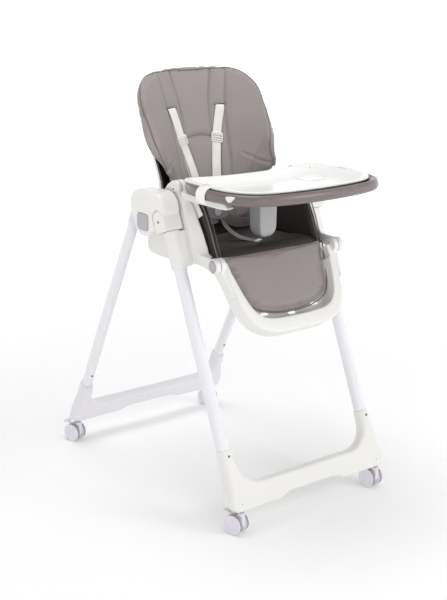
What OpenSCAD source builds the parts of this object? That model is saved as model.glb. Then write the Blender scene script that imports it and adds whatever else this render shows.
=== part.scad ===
// Folding high chair: two hinged leg frames on swivel casters, a seat carriage that slides on the
// front legs, a reclining padded backrest, an adjustable footrest and a removable feeding tray.
// All sizes are in millimetres. X runs from the child's right side to the left, the chair faces -Y,
// and Z is up from the floor.

/* [Leg frames] */
// Half the distance between the front leg tubes
front_leg_x = 224; // [210:1:240]
// Half the distance between the rear leg tubes
rear_leg_x = 229; // [215:1:245]
// Outer radius of the front leg tubes
front_tube_r = 16; // [12:0.5:20]
// Outer radius of the rear leg tubes
rear_tube_r = 14; // [10:0.5:18]
// Wall thickness of the leg tubes
tube_wall = 1.6; // [1:0.1:3]
// Lean of the front legs from the vertical, in degrees
front_lean = 22.4; // [18:0.1:26]
// Lean of the rear legs from the vertical, in degrees
rear_lean = 27.43; // [22:0.1:32]
// Y position of the front leg axis at the height of the foot's underside
front_leg_y = -358; // [-380:1:-330]
// Y position of the rear leg axis at the height of the foot's underside
rear_leg_y = 385.4; // [360:0.1:410]
// Height of the fold axis above the floor
fold_z = 744; // [730:1:760]

/* [Feet and casters] */
// Height of the underside of both feet
foot_z = 60; // [56:1:70]
// Height of the top edge of the front foot's cross bar
front_bar_z = 112; // [100:1:160]
// Height of the top edge of the rear foot's cross bar
rear_bar_z = 112; // [100:1:150]
// Radius of the inner corners of the front foot
front_fillet = 62; // [30:1:80]
// Radius of the inner corners of the rear foot
rear_fillet = 38; // [15:1:60]
// Thickness of the moulded feet
foot_thick = 38; // [30:1:44]
// Radius of the caster wheels
wheel_r = 25; // [20:0.5:26]
// Distance of the wheel axle behind the swivel axis
caster_trail = 15; // [10:1:20]

// Swivel angle of the front left caster as it stands, in degrees
yaw_front_left = 16; // [-180:1:180]
// Swivel angle of the front right caster as it stands, in degrees
yaw_front_right = 4; // [-180:1:180]
// Swivel angle of the rear left caster as it stands, in degrees
yaw_rear_left = 20; // [-180:1:180]
// Swivel angle of the rear right caster as it stands, in degrees
yaw_rear_right = 16; // [-180:1:180]

/* [Seat] */
// Inner half width of the seat bucket
bucket_half = 164; // [150:1:175]
// Height of the top of the seat pan's floor
pan_z = 610; // [600:1:630]
// Thickness of the seat pad
seat_pad = 36; // [20:1:50]
// Length of the height adjusting sleeves
sleeve_len = 93; // [70:1:120]
// Outer radius of the height adjusting sleeves
sleeve_r = 20.5; // [19:0.5:22.5]

/* [Backrest] */
// Backward lean of the upright backrest, in degrees
back_lean = 14.5; // [8:0.5:20]
// Height of the backrest above its hinge, along its own plane
back_height = 424; // [380:1:450]
// Half width of the upper backrest
back_half = 200; // [180:1:202]
// Half width of the lower backrest, between the seat's side walls
back_low = 146; // [120:1:148]
// Thickness of the back cushion
back_pad = 22; // [15:1:40]
// Radius of the backrest's hollow, front surface
back_curve = 356; // [320:1:800]

/* [Footrest] */
// Forward lean of the footrest at rest, in degrees
foot_lean = 32; // [0:1:60]
// Length of the footrest below its hinge
footrest_len = 190; // [160:1:230]

/* [Tray] */
// Half width of the tray rim
tray_half = 234; // [210:1:236]
// Height of the underside of the tray
tray_z = 790; // [788:1:800]
// Depth of the tray from its straight rear edge to its front
tray_depth = 290; // [240:1:300]

/* [Hidden] */
$fn = 64;
eps = 0.01;
fit = 0.05;
gap = 0.5;
cosf = cos(front_lean);
sinf = sin(front_lean);
cosr = cos(rear_lean);
sinr = sin(rear_lean);
fold_y = rear_leg_y - (fold_z - foot_z) * sinr / cosr;
rear_len = (fold_z - foot_z) / cosr;
casing_out = 256;
casing_in = 205;
sleeve_top = 683;
foot_hinge_y = -230;
foot_hinge_z = 627;
back_hinge_y = 50;
back_hinge_z = 640;
recline_y = 34;
recline_z = 634;
eye_y = 12;
eye_z = 742;
tray_front = -410;
tray_rear = -118;
front_foot_y = -364;
rear_foot_y = 371.5;
front_foot_lean = 24.5;
rear_foot_lean = 22;
front_caster = [220, -371];
rear_caster = [235, 364];
white = [0.93, 0.93, 0.92];
tube_white = [0.9, 0.9, 0.92];
grey = [0.55, 0.54, 0.56];
taupe = [0.48, 0.44, 0.44];
black = [0.12, 0.1, 0.1];
cream = [0.85, 0.84, 0.8];
metal = [0.6, 0.6, 0.62];

// ---- helpers ----

// Everything with a left and a right version is drawn on the left, at negative X
module side(right) {
    if (right) mirror([1, 0, 0]) children();
    else children();
}

// A cylinder along X between two X positions
module xcyl(x0, x1, y, z, r) {
    translate([x0, y, z]) rotate([0, 90, 0]) cylinder(h = x1 - x0, r = r);
}

// A profile drawn in the Y-Z plane, extruded along X
module yz_plate(x0, x1) {
    translate([x0, 0, 0]) rotate([90, 0, 90]) linear_extrude(height = x1 - x0) children();
}

// Local frame on a front leg's axis: Z runs up the leg from the foot's underside
module front_leg_frame() {
    translate([-front_leg_x, front_leg_y, foot_z]) rotate([-front_lean, 0, 0]) children();
}

// Local frame on a rear leg's axis
module rear_leg_frame() {
    translate([-rear_leg_x, rear_leg_y, foot_z]) rotate([rear_lean, 0, 0]) children();
}

// Local frame of the footrest: Z runs up to the hinge, -Y is its front
module footrest_frame() {
    translate([0, foot_hinge_y, foot_hinge_z]) rotate([-foot_lean, 0, 0]) children();
}

// Local frame of the backrest: Z runs up from the hinge, -Y is its front
module back_frame() {
    translate([0, back_hinge_y, back_hinge_z]) rotate([-back_lean, 0, 0]) children();
}

// ---- front frame ----

module front_leg() {
    color(tube_white) front_leg_frame() translate([0, 0, 30]) difference() {
        cylinder(h = 714, r = front_tube_r);
        translate([0, 0, -1]) cylinder(h = 716, r = front_tube_r - tube_wall);
    }
}

// A foot's front outline: a bar with a socket arm at each end and rounded inner corners
module foot_outline(half_bottom, half_top, inner, bar, top, fillet, lean) {
    v = (bar - foot_z) / cos(lean);
    t = (top - foot_z) / cos(lean);
    difference() {
        polygon([
            [-half_bottom, -30], [half_bottom, -30], [half_bottom, 12], [half_top, t],
            [-half_top, t], [-half_top, t], [-half_bottom, 12]
        ]);
        translate([-(inner - fillet), v]) square([2 * (inner - fillet), 200]);
        translate([-inner, v + fillet]) square([2 * inner, 200]);
        for (s = [-1, 1]) translate([s * (inner - fillet), v + fillet]) circle(r = fillet);
        translate([-88, -31]) square([176, 31 + 11]);
    }
}

module front_foot() {
    color(white) difference() {
        union() {
            translate([0, front_foot_y, foot_z]) rotate([-front_foot_lean, 0, 0])
                rotate([90, 0, 0]) translate([0, 0, -foot_thick / 2])
                linear_extrude(height = foot_thick)
                foot_outline(240, 242, 206, front_bar_z, 186, front_fillet, front_foot_lean);
            for (m = [false, true]) side(m) front_leg_frame() translate([0, 0, 40])
                cylinder(h = 108, r = front_tube_r + 3.5);
        }
        for (m = [false, true]) side(m) front_leg_frame() translate([0, 0, 29])
            cylinder(h = 160, r = front_tube_r + fit);
        translate([-300, -500, foot_z - 80]) cube([600, 300, 80]);
        for (s = [-1, 1]) translate([s * front_caster[0], front_caster[1], foot_z - 1])
            cylinder(h = 25, r = 4.5);
        // screw holes in the socket fronts
        for (m = [false, true]) side(m) front_leg_frame() translate([0, 0, 128]) rotate([90, 0, 0])
            cylinder(h = 40, r = 2.2);
    }
}

// The circle of the hub casing that reaches furthest in direction a: its Y, Z and radius
function hub_circle(a) =
    let (p = 745 * sin(a) + 40)
    let (q = -64 * cos(a) + 744 * sin(a) + 42)
    let (r = -19 * cos(a) + 711 * sin(a) + 43)
    p >= q && p >= r ? [0, 745, 40] : q >= r ? [-64, 744, 42] : [-19, 711, 43];

// The hub casing's outline in the Y-Z plane, grown by g
module casing_outline(g) {
    polygon([
        for (i = [0:89]) let (c = hub_circle(i * 4))
            [c[0] + (c[2] + g) * cos(i * 4), c[1] + (c[2] + g) * sin(i * 4)]
    ]);
}

// The knuckle's cheek in the leg frame's Y-Z plane, grown by g
module cheek_outline(g) {
    translate([-20 - g, 686]) square([40 + 2 * g, 34]);
    translate([0, 720]) circle(r = 20 + g);
}

// Hollow hub casing that carries the fold axis; its underside is open for the rear leg's swing
module hub_casing() {
    color(white) difference() {
        yz_plate(-casing_out, -casing_in) casing_outline(0);
        difference() {
            yz_plate(-250, -209.5) casing_outline(-3);
            // solid core that holds the front leg's head
            front_leg_frame() translate([-24, -30, 690]) cube([48, 56, 60]);
        }
        // way out for the rear leg, from its rest lean to its folded lean
        yz_plate(-250, -209.5) polygon([
            [14, 738], [90, 738], [90, 640], [-56, 640], [-56, 690], [-38, 716]
        ]);
        front_leg_frame() {
            translate([0, 0, 600]) cylinder(h = 148.5, r = 23.5);
            yz_plate(-40, -5) cheek_outline(0.5);
            translate([-40, -60, 640]) cube([80, 90, 45.5]);
        }
        xcyl(-253, -208, eye_y, eye_z, 4 + fit);
        // opening for the fold button
        translate([-257, -46, 686]) cube([8, 47, 42]);
    }
}

module hub_knuckle() {
    color(white) front_leg_frame() difference() {
        union() {
            translate([0, 0, 686]) cylinder(h = 62, r = 23);
            yz_plate(-29, -12) cheek_outline(0);
        }
        translate([0, 0, 680]) cylinder(h = 64 + fit, r = front_tube_r + fit);
        translate([0, 0, 712]) rotate([0, -90, 0]) cylinder(h = 40, r = 2.2);
    }
}

module fold_pins() {
    color(metal) for (m = [false, true]) side(m) xcyl(-252.8, -208.2, eye_y, eye_z, 4);
}

module front_screws() {
    color(black) for (m = [false, true]) side(m) front_leg_frame() {
        translate([-front_tube_r - fit - 0.2, 0, 712]) rotate([0, -90, 0]) cylinder(h = 12.4, r = 2.1);
        translate([0, -front_tube_r - fit - 0.2, 128]) rotate([90, 0, 0]) cylinder(h = 4, r = 2.1);
    }
}

// ---- rear frame ----

module rear_leg() {
    color(tube_white) rear_leg_frame() translate([0, 0, 30]) difference() {
        cylinder(h = rear_len - 66, r = rear_tube_r);
        translate([0, 0, -1]) cylinder(h = rear_len, r = rear_tube_r - tube_wall);
    }
}

module rear_foot() {
    color(white) difference() {
        union() {
            translate([0, rear_foot_y, foot_z]) rotate([rear_foot_lean, 0, 0])
                rotate([90, 0, 0]) translate([0, 0, -foot_thick / 2])
                linear_extrude(height = foot_thick)
                foot_outline(254, 248, 211, rear_bar_z, 180, rear_fillet, rear_foot_lean);
            for (m = [false, true]) side(m) rear_leg_frame() translate([0, 0, 40])
                cylinder(h = 98, r = rear_tube_r + 3.5);
        }
        for (m = [false, true]) side(m) rear_leg_frame() translate([0, 0, 29])
            cylinder(h = 160, r = rear_tube_r + fit);
        translate([-300, 200, foot_z - 80]) cube([600, 300, 80]);
        for (s = [-1, 1]) translate([s * rear_caster[0], rear_caster[1], foot_z - 1])
            cylinder(h = 25, r = 4.5);
        for (m = [false, true]) side(m) rear_leg_frame() translate([0, 0, 118]) rotate([90, 0, 0])
            cylinder(h = 40, r = 2.2);
    }
}

// Eye on the rear leg's upper end, which turns on the fold pin
module rear_knuckle() {
    color(grey) difference() {
        union() {
            xcyl(-246, -212, eye_y, eye_z, 19);
            yz_plate(-246, -212) polygon([
                [eye_y - 17, eye_z - 8], [eye_y + 8, eye_z + 17], [32, 740], [50, 716],
                [32, 702], [10, 712]
            ]);
            rear_leg_frame() translate([0, 0, rear_len - 64]) cylinder(h = 42, r = 16);
        }
        xcyl(-260, -200, eye_y, eye_z, 4 + fit);
        rear_leg_frame() translate([0, 0, rear_len - 120]) cylinder(h = 84 + fit, r = rear_tube_r + fit);
    }
}

module rear_screws() {
    color(black) for (m = [false, true]) side(m) rear_leg_frame() {
        translate([0, -rear_tube_r - fit - 0.2, 118]) rotate([90, 0, 0]) cylinder(h = 4, r = 2.1);
        translate([0, -rear_tube_r - 0.1, 180]) rotate([90, 0, 0]) cylinder(h = 1.6, r = 3);
    }
}

module fold_button() {
    color(grey) translate([-259, -45.5, 686.5]) cube([9, 46, 41]);
}

// ---- seat carriage ----

// Sleeve round the front leg with a web to the seat's side panel
module seat_slider() {
    color(white) front_leg_frame() difference() {
        union() {
            translate([0, 0, sleeve_top - sleeve_len]) cylinder(h = sleeve_len, r = sleeve_r);
            translate([sleeve_r - 8, -20, sleeve_top - sleeve_len + 3])
                cube([front_leg_x - 198 - sleeve_r + 8 - 0.1, 40, sleeve_len - 6]);
        }
        translate([0, 0, sleeve_top - sleeve_len - 1]) cylinder(h = sleeve_len + 2, r = front_tube_r + 0.4);
        // slot for the height lever
        translate([-4.5, 5, sleeve_top - 60]) cube([9, 30, 42]);
    }
}

module height_lever() {
    color(grey) front_leg_frame() {
        translate([-4, 19, sleeve_top - 58]) cube([8, 6.5, 38]);
    }
}

module side_panel() {
    color(white) difference() {
        union() {
            yz_plate(-198, -186) {
                polygon([
                    [-106, 792], [-214, 666], [-247, 640], [-246, 614], [-142, 618], [0, 611],
                    [48, 611], [48, 650], [14, 694], [-10, 740], [-30, 782], [-60, 800]
                ]);
                translate([foot_hinge_y, foot_hinge_z]) circle(r = 21);
            }
        }
        xcyl(-199, -185, foot_hinge_y, foot_hinge_z, 14.5);
        xcyl(-199, -185, -73, 789, 4);
        xcyl(-196, -185, recline_y, recline_z, 6 + fit);
    }
}

module seat_pan() {
    color(black) union() {
        translate([-bucket_half - 6, -190, pan_z - 8]) cube([2 * bucket_half + 12, 210, 8]);
        for (m = [false, true]) side(m) {
            yz_plate(-bucket_half - 6, -bucket_half) polygon([
                [-189, pan_z - 8], [-189, 650], [-104, 768], [-20, 768], [12, 690], [20, 650],
                [20, pan_z - 8]
            ]);
            // spacer blocks between the bucket and the side panel
            for (p = [[-120, 640], [-10, 640], [-80, 730]])
                xcyl(-186, -bucket_half - 5, p[0], p[1], 8);
        }
    }
}

module armrest() {
    color(white) {
        union() {
            xcyl(-185.9, -172, -73, 789, 21);
            yz_plate(-196, -182) {
                polygon([[-285, 770], [-291, 777], [-285, 785], [-128, 785], [-128, 770]]);
            }
            yz_plate(-185.9, -181) polygon([[-140, 770], [-140, 784], [-112, 785], [-73, 806], [-73, 770]]);
            xcyl(-198, -184, -73, 789, 3.9);
        }
    }
}

module seat_cushion() {
    color(taupe) union() {
        translate([-162, -200, pan_z + 0.2]) cube([324, 216, seat_pad]);
        for (m = [false, true]) side(m) yz_plate(-163, -150) polygon([
            [-197, pan_z + 20], [-197, 654], [-106, 774], [-44, 778], [8, 690], [14, 650], [14, pan_z + 20]
        ]);
    }
}

module crotch_strap() {
    color(grey) translate([0, 0, pan_z + seat_pad + 0.4]) rotate([0, 0, 18])
        translate([-46, -150, 0]) cube([24, 104, 2.4]);
}

module lap_straps() {
    color(cream) for (m = [false, true]) side(m) {
        translate([-148, -20, 672]) rotate([0, 14, 0]) cube([90, 2.4, 25]);
    }
}

module harness_buckle() {
    color(grey) translate([-58, -64, pan_z + seat_pad + 3.2]) cube([52, 36, 16]);
}

// ---- backrest ----

// The backrest's outline: narrow between the seat's side walls, wide and rounded above them
module back_outline(g, low) {
    polygon([
        [-low, 2], [low, 2], [low, 140], [back_half - 4 + g, 200],
        [back_half + g, back_height - 102], [-back_half - g, back_height - 102],
        [-back_half + 4 - g, 200], [-low, 140]
    ]);
    for (s = [-1, 1]) translate([s * (back_half - 102), back_height - 102]) circle(r = 102 + g);
    translate([-(back_half - 102), back_height - 104]) square([2 * (back_half - 102), 104 + g]);
}

// A layer of the hollow backrest, between two distances from the axis of its curve
module back_layer(r_in, r_out, g, low, base) {
    intersection() {
        translate([0, 60, 0]) rotate([90, 0, 0]) linear_extrude(height = 200) back_outline(g, low);
        translate([0, -12 - back_curve, base]) difference() {
            cylinder(h = 500, r = r_out, $fn = 180);
            translate([0, 0, -1]) cylinder(h = 502, r = r_in, $fn = 180);
        }
    }
}

module back_shell() {
    layer = back_curve + back_pad + 4.6;
    color(white) {
        back_frame() back_layer(layer, layer + 6, -4, back_low, 0);
        // lugs with stub axles that turn in the side panels
        for (m = [false, true]) side(m) {
            yz_plate(-back_low + 1.5, -back_low + 7.4) polygon([
                [recline_y - 9, recline_z + 8], [recline_y - 9, recline_z - 9], [recline_y + 6, recline_z - 10],
                [74, 646], [78, 700], [52, 694]
            ]);
            xcyl(-195, -back_low + 4, recline_y, recline_z, 6);
        }
        // ears that hold the recline handle's pin
        back_frame() for (s = [-1, 1]) difference() {
            translate([s * 66 - 5, 12, 352]) cube([10, 27, 20]);
            xcyl(-80, 80, 32, 362, 3 + fit);
        }
    }
}

module back_liner() {
    layer = back_curve + back_pad + 0.4;
    color(black) back_frame() back_layer(layer, layer + 3.8, -8, back_low - 8, 10);
}

module back_cushion() {
    color(taupe) back_frame() back_layer(back_curve, back_curve + back_pad, 0, back_low - 8, 18);
}

module shoulder_straps() {
    color(cream) back_frame() for (s = [-1, 1]) rotate([0, s * 3.9, 0])
        translate([s * 48 - 12, -24.6, 58]) cube([24, 2.2, 268]);
}

module strap_adjusters() {
    color(cream) back_frame() for (s = [-1, 1]) rotate([0, s * 3.9, 0])
        translate([s * 48 - 16, -31, 224]) cube([32, 6.2, 26]);
}

module recline_handle() {
    color(grey) back_frame() {
        translate([-60, 27, 318]) cube([120, 6, 44]);
        xcyl(-60, 60, 32, 362, 5);
        xcyl(-68, 68, 32, 362, 3);
    }
}

// ---- footrest ----

module footrest_outline(g) {
    polygon([
        [-172 - g, -14], [172 + g, -14], [161 + g, -110], [-161 - g, -110]
    ]);
    polygon([
        [-161 - g, -109], [161 + g, -109], [139 + g, -160], [-139 - g, -160]
    ]);
    for (s = [-1, 1]) translate([s * 99, -footrest_len + 44]) circle(r = 44 + g);
    translate([-99, -footrest_len - g]) square([198, 60]);
}

module footrest_shell() {
    color(white) footrest_frame() difference() {
        union() {
            translate([0, 36, 0]) rotate([90, 0, 0]) linear_extrude(height = 40) footrest_outline(0);
            for (m = [false, true]) side(m) {
                xcyl(-184.5, -172, 0, 0, 20);
                translate([-184.5, -4, -60]) cube([14, 23, 60]);
            }
        }
        // dish for the calf cushion, open at the top
        translate([0, 30, 0]) rotate([90, 0, 0]) linear_extrude(height = 40) footrest_outline(-14);
        translate([-160, -40, -40]) cube([320, 70, 60]);
        translate([-190, 30, -26]) cube([380, 20, 30]);
        // vent slots under the cushion's lower edge
        for (s = [-1, 1]) translate([s * 34 - 15, 0, -footrest_len + 26]) cube([30, 60, 9]);
        for (m = [false, true]) side(m) xcyl(-190, -177, 0, 0, 8);
    }
}

module calf_cushion() {
    color(taupe) footrest_frame() {
        yz_plate(-145, 145) polygon([[13, -2], [13, -92], [29.8, -92], [29.8, -24]]);
        translate([0, 29.8, 0]) rotate([90, 0, 0]) linear_extrude(height = 16.8)
            polygon([[-145, -91], [145, -91], [114, -126], [-114, -126]]);
    }
}

module footrest_button() {
    color(grey) union() {
        xcyl(-201, -189, foot_hinge_y, foot_hinge_z, 14);
        xcyl(-190, -182, foot_hinge_y, foot_hinge_z, 7.4);
    }
}

// ---- tray ----

// The tray's outline in plan: straight at the back, bulging at the front, shrunk by g
module tray_outline(g) {
    half = tray_half - g;
    difference() {
        union() {
            difference() {
                translate([0, tray_front + 440]) circle(r = 440 - g);
                translate([-600, -360]) square([1200, 1200]);
            }
            translate([-half, -362]) square([2 * half, 122]);
            polygon([
                [-half, -241], [half, -241], [206 - g, tray_rear - g], [-206 + g, tray_rear - g]
            ]);
        }
        for (m = [0, 1]) mirror([m, 0]) difference() {
            translate([half - 60, -510]) square([600, 200]);
            translate([half - 60, -310]) circle(r = 60);
            translate([half - 62, -311]) square([62, 60]);
        }
    }
}

module tray_base() {
    color(taupe) difference() {
        union() {
            translate([0, 0, tray_z]) linear_extrude(height = 25) tray_outline(0);
            // rails that ride on the armrests
            for (m = [false, true]) side(m) {
                translate([-203, -290, tray_z - 16]) cube([5, 130, 17]);
                translate([-180, -290, tray_z - 16]) cube([5, 130, 17]);
            }
        }
        translate([0, 0, tray_z + 6]) linear_extrude(height = 30) tray_outline(30);
    }
}

module tray_post() {
    color(grey) difference() {
        translate([-22, -193, 664]) cube([44, 43, tray_z - 664 - 0.1]);
        translate([-17, -188, 700]) cube([34, 33, tray_z]);
    }
}

module tray_insert() {
    color(white) difference() {
        union() {
            translate([0, 0, tray_z + 25.2]) linear_extrude(height = 6) tray_outline(27);
            translate([0, 0, tray_z + 7]) linear_extrude(height = 19) tray_outline(31);
        }
        translate([0, 0, tray_z + 12]) linear_extrude(height = 40) tray_outline(44);
    }
}

// Flap at each end of the insert that folds down over the tray's rim
module tray_clip() {
    color(white) union() {
        translate([-238.5, -256, tray_z + 26]) cube([29, 42, 4]);
        translate([-238.5, -256, tray_z - 12]) cube([3, 42, 39]);
    }
}

// ---- casters ----

// A caster at its own origin: swivel axis on Z, wheels trailing towards +Y
module caster_housing() {
    color(white) difference() {
        union() {
            translate([0, 0, 50.5]) cylinder(h = 5.5, r = 9);
            translate([-6, -8, 20]) cube([12, 16, 33]);
            translate([0, 0, 40]) cylinder(h = 40, r = 4.45);
            translate([0, caster_trail, wheel_r]) rotate([0, 90, 0]) translate([0, 0, -6])
                cylinder(h = 12, r = 19);
            translate([-6, 0, wheel_r]) cube([12, caster_trail, 24]);
        }
        translate([0, 0, -1]) cylinder(h = 21, r = 14);
        translate([-10, caster_trail, wheel_r]) rotate([0, 90, 0]) cylinder(h = 20, r = 3 + fit);
        // hollow for the brake lever
        translate([-3.5, caster_trail, wheel_r + 13]) cube([7, 30, 30]);
    }
}

module caster_wheels() {
    color(white) translate([0, caster_trail, wheel_r]) rotate([0, 90, 0]) {
        for (s = [-1, 1]) translate([0, 0, s * 13 - 6]) {
            cylinder(h = 12, r = wheel_r);
        }
        translate([0, 0, -8]) cylinder(h = 16, r = 3);
    }
}

module caster_brake() {
    color(grey) {
        translate([-3, caster_trail + 2, wheel_r + 20]) cube([6, 20, 5]);
        translate([-11, caster_trail + 20, wheel_r + 25.4]) cube([22, 14, 4]);
        translate([-3, caster_trail + 18, wheel_r + 20]) cube([6, 4, 8]);
    }
}

module at_caster(spot, s, yaw) {
    translate([s * spot[0], spot[1], 0]) rotate([0, 0, yaw]) children();
}

front_leg();  // front_leg_left
side(true) front_leg();  // front_leg_right
front_foot();
hub_casing();  // hub_casing_left
side(true) hub_casing();  // hub_casing_right
hub_knuckle();  // hub_knuckle_left
side(true) hub_knuckle();  // hub_knuckle_right
fold_pins();
front_screws();
rear_leg();  // rear_leg_left
side(true) rear_leg();  // rear_leg_right
rear_foot();
rear_knuckle();  // rear_knuckle_left
side(true) rear_knuckle();  // rear_knuckle_right
rear_screws();
fold_button();  // fold_button_left
side(true) fold_button();  // fold_button_right
seat_slider();  // seat_slider_left
side(true) seat_slider();  // seat_slider_right
side_panel();  // side_panel_left
side(true) side_panel();  // side_panel_right
seat_pan();
armrest();  // armrest_left
side(true) armrest();  // armrest_right
seat_cushion();
crotch_strap();
lap_straps();
harness_buckle();
height_lever();  // height_lever_left
side(true) height_lever();  // height_lever_right
back_shell();
back_liner();
back_cushion();
shoulder_straps();
strap_adjusters();
recline_handle();
footrest_shell();
calf_cushion();
footrest_button();  // footrest_button_left
side(true) footrest_button();  // footrest_button_right
tray_base();
tray_post();
tray_insert();
tray_clip();  // tray_clip_left
side(true) tray_clip();  // tray_clip_right
at_caster(front_caster, -1, yaw_front_left) caster_housing();  // caster_housing_front_left
at_caster(front_caster, -1, yaw_front_left) caster_wheels();  // caster_wheels_front_left
at_caster(front_caster, -1, yaw_front_left) caster_brake();  // caster_brake_front_left
at_caster(front_caster, 1, yaw_front_right) caster_housing();  // caster_housing_front_right
at_caster(front_caster, 1, yaw_front_right) caster_wheels();  // caster_wheels_front_right
at_caster(front_caster, 1, yaw_front_right) caster_brake();  // caster_brake_front_right
at_caster(rear_caster, -1, yaw_rear_left) caster_housing();  // caster_housing_rear_left
at_caster(rear_caster, -1, yaw_rear_left) caster_wheels();  // caster_wheels_rear_left
at_caster(rear_caster, -1, yaw_rear_left) caster_brake();  // caster_brake_rear_left
at_caster(rear_caster, 1, yaw_rear_right) caster_housing();  // caster_housing_rear_right
at_caster(rear_caster, 1, yaw_rear_right) caster_wheels();  // caster_wheels_rear_right
at_caster(rear_caster, 1, yaw_rear_right) caster_brake();  // caster_brake_rear_right
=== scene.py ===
# Folding high chair: the looks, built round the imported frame. Lengths in the tables are millimetres.
import bpy
import bmesh
import math
import numpy as np
from mathutils import Vector, Matrix
from mathutils.bvhtree import BVHTree


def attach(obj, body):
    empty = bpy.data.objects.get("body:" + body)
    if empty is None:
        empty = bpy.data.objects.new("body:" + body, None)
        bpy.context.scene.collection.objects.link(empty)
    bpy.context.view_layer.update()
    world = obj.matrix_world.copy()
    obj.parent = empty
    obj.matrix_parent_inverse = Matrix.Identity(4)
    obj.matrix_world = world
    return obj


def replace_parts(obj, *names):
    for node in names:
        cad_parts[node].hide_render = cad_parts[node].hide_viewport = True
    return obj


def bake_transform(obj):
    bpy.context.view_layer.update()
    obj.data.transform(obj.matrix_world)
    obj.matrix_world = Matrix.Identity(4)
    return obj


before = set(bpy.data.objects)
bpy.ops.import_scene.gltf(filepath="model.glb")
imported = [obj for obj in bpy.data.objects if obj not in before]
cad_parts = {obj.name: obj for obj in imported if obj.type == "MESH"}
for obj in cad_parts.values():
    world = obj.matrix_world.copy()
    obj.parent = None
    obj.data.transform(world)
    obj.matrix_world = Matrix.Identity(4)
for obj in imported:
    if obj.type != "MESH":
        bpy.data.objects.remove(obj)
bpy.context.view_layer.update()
rad = math.radians
SIDES = (("left", False), ("right", True))  # the child's side, and whether the left-hand shape is mirrored
FRONT_LEAN, REAR_LEAN = 22.4, 27.43  # degrees from upright of the front and rear leg tubes


# ---------------------------------------------------------------- maths
def sstep(a, b, x):
    t = np.clip((np.asarray(x, float) - a) / (b - a), 0, 1)
    return t * t * (3 - 2 * t)


def table(x, pts):
    """Smooth (monotone cubic) interpolation through (x, y) pairs."""
    p = np.array(sorted(pts), float)
    xs, ys = p[:, 0], p[:, 1]
    h = np.diff(xs)
    d = np.diff(ys) / h
    m = np.zeros(len(xs))
    m[0], m[-1] = d[0], d[-1]
    for i in range(1, len(xs) - 1):
        if d[i - 1] * d[i] > 0:
            w1, w2 = 2 * h[i] + h[i - 1], h[i] + 2 * h[i - 1]
            m[i] = (w1 + w2) / (w1 / d[i - 1] + w2 / d[i])
    x = np.clip(np.asarray(x, float), xs[0], xs[-1])
    i = np.clip(np.searchsorted(xs, x, side="right") - 1, 0, len(h) - 1)
    t = (x - xs[i]) / h[i]
    a = ys[i] * (2 * t**3 - 3 * t**2 + 1) + m[i] * h[i] * (t**3 - 2 * t**2 + t)
    return a + ys[i + 1] * (3 * t**2 - 2 * t**3) + m[i + 1] * h[i] * (t**3 - t**2)


def frame_of(origin, angle):
    """Maps local points to the model: a turn about X, then the origin. to.back is the reverse."""
    c, s = math.cos(rad(angle)), math.sin(rad(angle))
    o = np.array(origin, float)

    def to(p):
        p = np.asarray(p, float)
        x, y, z = p[..., 0], p[..., 1], p[..., 2]
        return np.stack([x, y * c - z * s, y * s + z * c], -1) + o

    def back(p):
        p = np.asarray(p, float) - o
        x, y, z = p[..., 0], p[..., 1], p[..., 2]
        return np.stack([x, y * c + z * s, -y * s + z * c], -1)

    to.back = back
    to.origin = o
    return to


FOOT_Z = 60  # height of the feet's underside
FRONT_LEG = frame_of((-224, -358, FOOT_Z), -FRONT_LEAN)
REAR_LEG = frame_of((-229, 385.4, FOOT_Z), REAR_LEAN)
FRONT_FOOT = frame_of((0, -364, FOOT_Z), -24.5)
REAR_FOOT = frame_of((0, 371.5, FOOT_Z), 22)
FOOTREST = frame_of((0, -230, 627), -32)
BACK = frame_of((0, 50, 640), -14.5)
WORLD = frame_of((0, 0, 0), 0)
ARM_PIVOT, HINGE = (-73, 789), (-230, 627)  # (y, z) of the armrest pivots and of the footrest hinges
S0, S1 = 590.0, 683.0  # the height sleeve's ends, along the front leg


def unit(v):
    v = np.asarray(v, float)
    return v / np.linalg.norm(v, axis=-1, keepdims=True)


def tangents(P):
    return unit(np.gradient(P, axis=0))


def lengths(P):
    """Distance run along a path at each of its points."""
    return np.concatenate([[0], np.cumsum(np.linalg.norm(np.diff(P, axis=0), axis=1))])


def spline(points, n, closed=False):
    """Centripetal Catmull-Rom curve through points, resampled to n even steps."""
    P = np.array(points, float)
    m = len(P)
    if closed:
        Q = np.vstack([P[-1], P, P[0], P[1]])
        segs = m
    else:
        Q = np.vstack([2 * P[0] - P[1], P, 2 * P[-1] - P[-2]])
        segs = m - 1
    out = []
    for i in range(segs):
        a, b, c, d = Q[i], Q[i + 1], Q[i + 2], Q[i + 3]
        t0, t1, t2, t3 = np.cumsum([0.0] + [max(np.linalg.norm(q - p), 1e-6) ** 0.5 for p,
            q in ((a, b), (b, c), (c, d))])
        for t in np.linspace(t1, t2, 24, endpoint=False):
            A1 = (t1 - t) / (t1 - t0) * a + (t - t0) / (t1 - t0) * b
            A2 = (t2 - t) / (t2 - t1) * b + (t - t1) / (t2 - t1) * c
            A3 = (t3 - t) / (t3 - t2) * c + (t - t2) / (t3 - t2) * d
            B1 = (t2 - t) / (t2 - t0) * A1 + (t - t0) / (t2 - t0) * A2
            B2 = (t3 - t) / (t3 - t1) * A2 + (t - t1) / (t3 - t1) * A3
            out.append((t2 - t) / (t2 - t1) * B1 + (t - t1) / (t2 - t1) * B2)
    out.append(out[0] if closed else P[-1])
    C = np.array(out)
    L = lengths(C)
    s = np.linspace(0, L[-1], n, endpoint=not closed)
    return np.stack([np.interp(s, L, C[:, k]) for k in range(C.shape[1])], -1)


def line_dist(P, L):
    """Distance from points P (n, 2) to polyline L (m, 2)."""
    P = np.asarray(P, float)
    best = np.full(len(P), 1e9)
    for a, b in zip(L[:-1], L[1:]):
        d = b - a
        t = np.clip(((P - a) @ d) / max(d @ d, 1e-9), 0, 1)
        best = np.minimum(best, np.linalg.norm(P - a - t[:, None] * d, axis=1))
    return best


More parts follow.
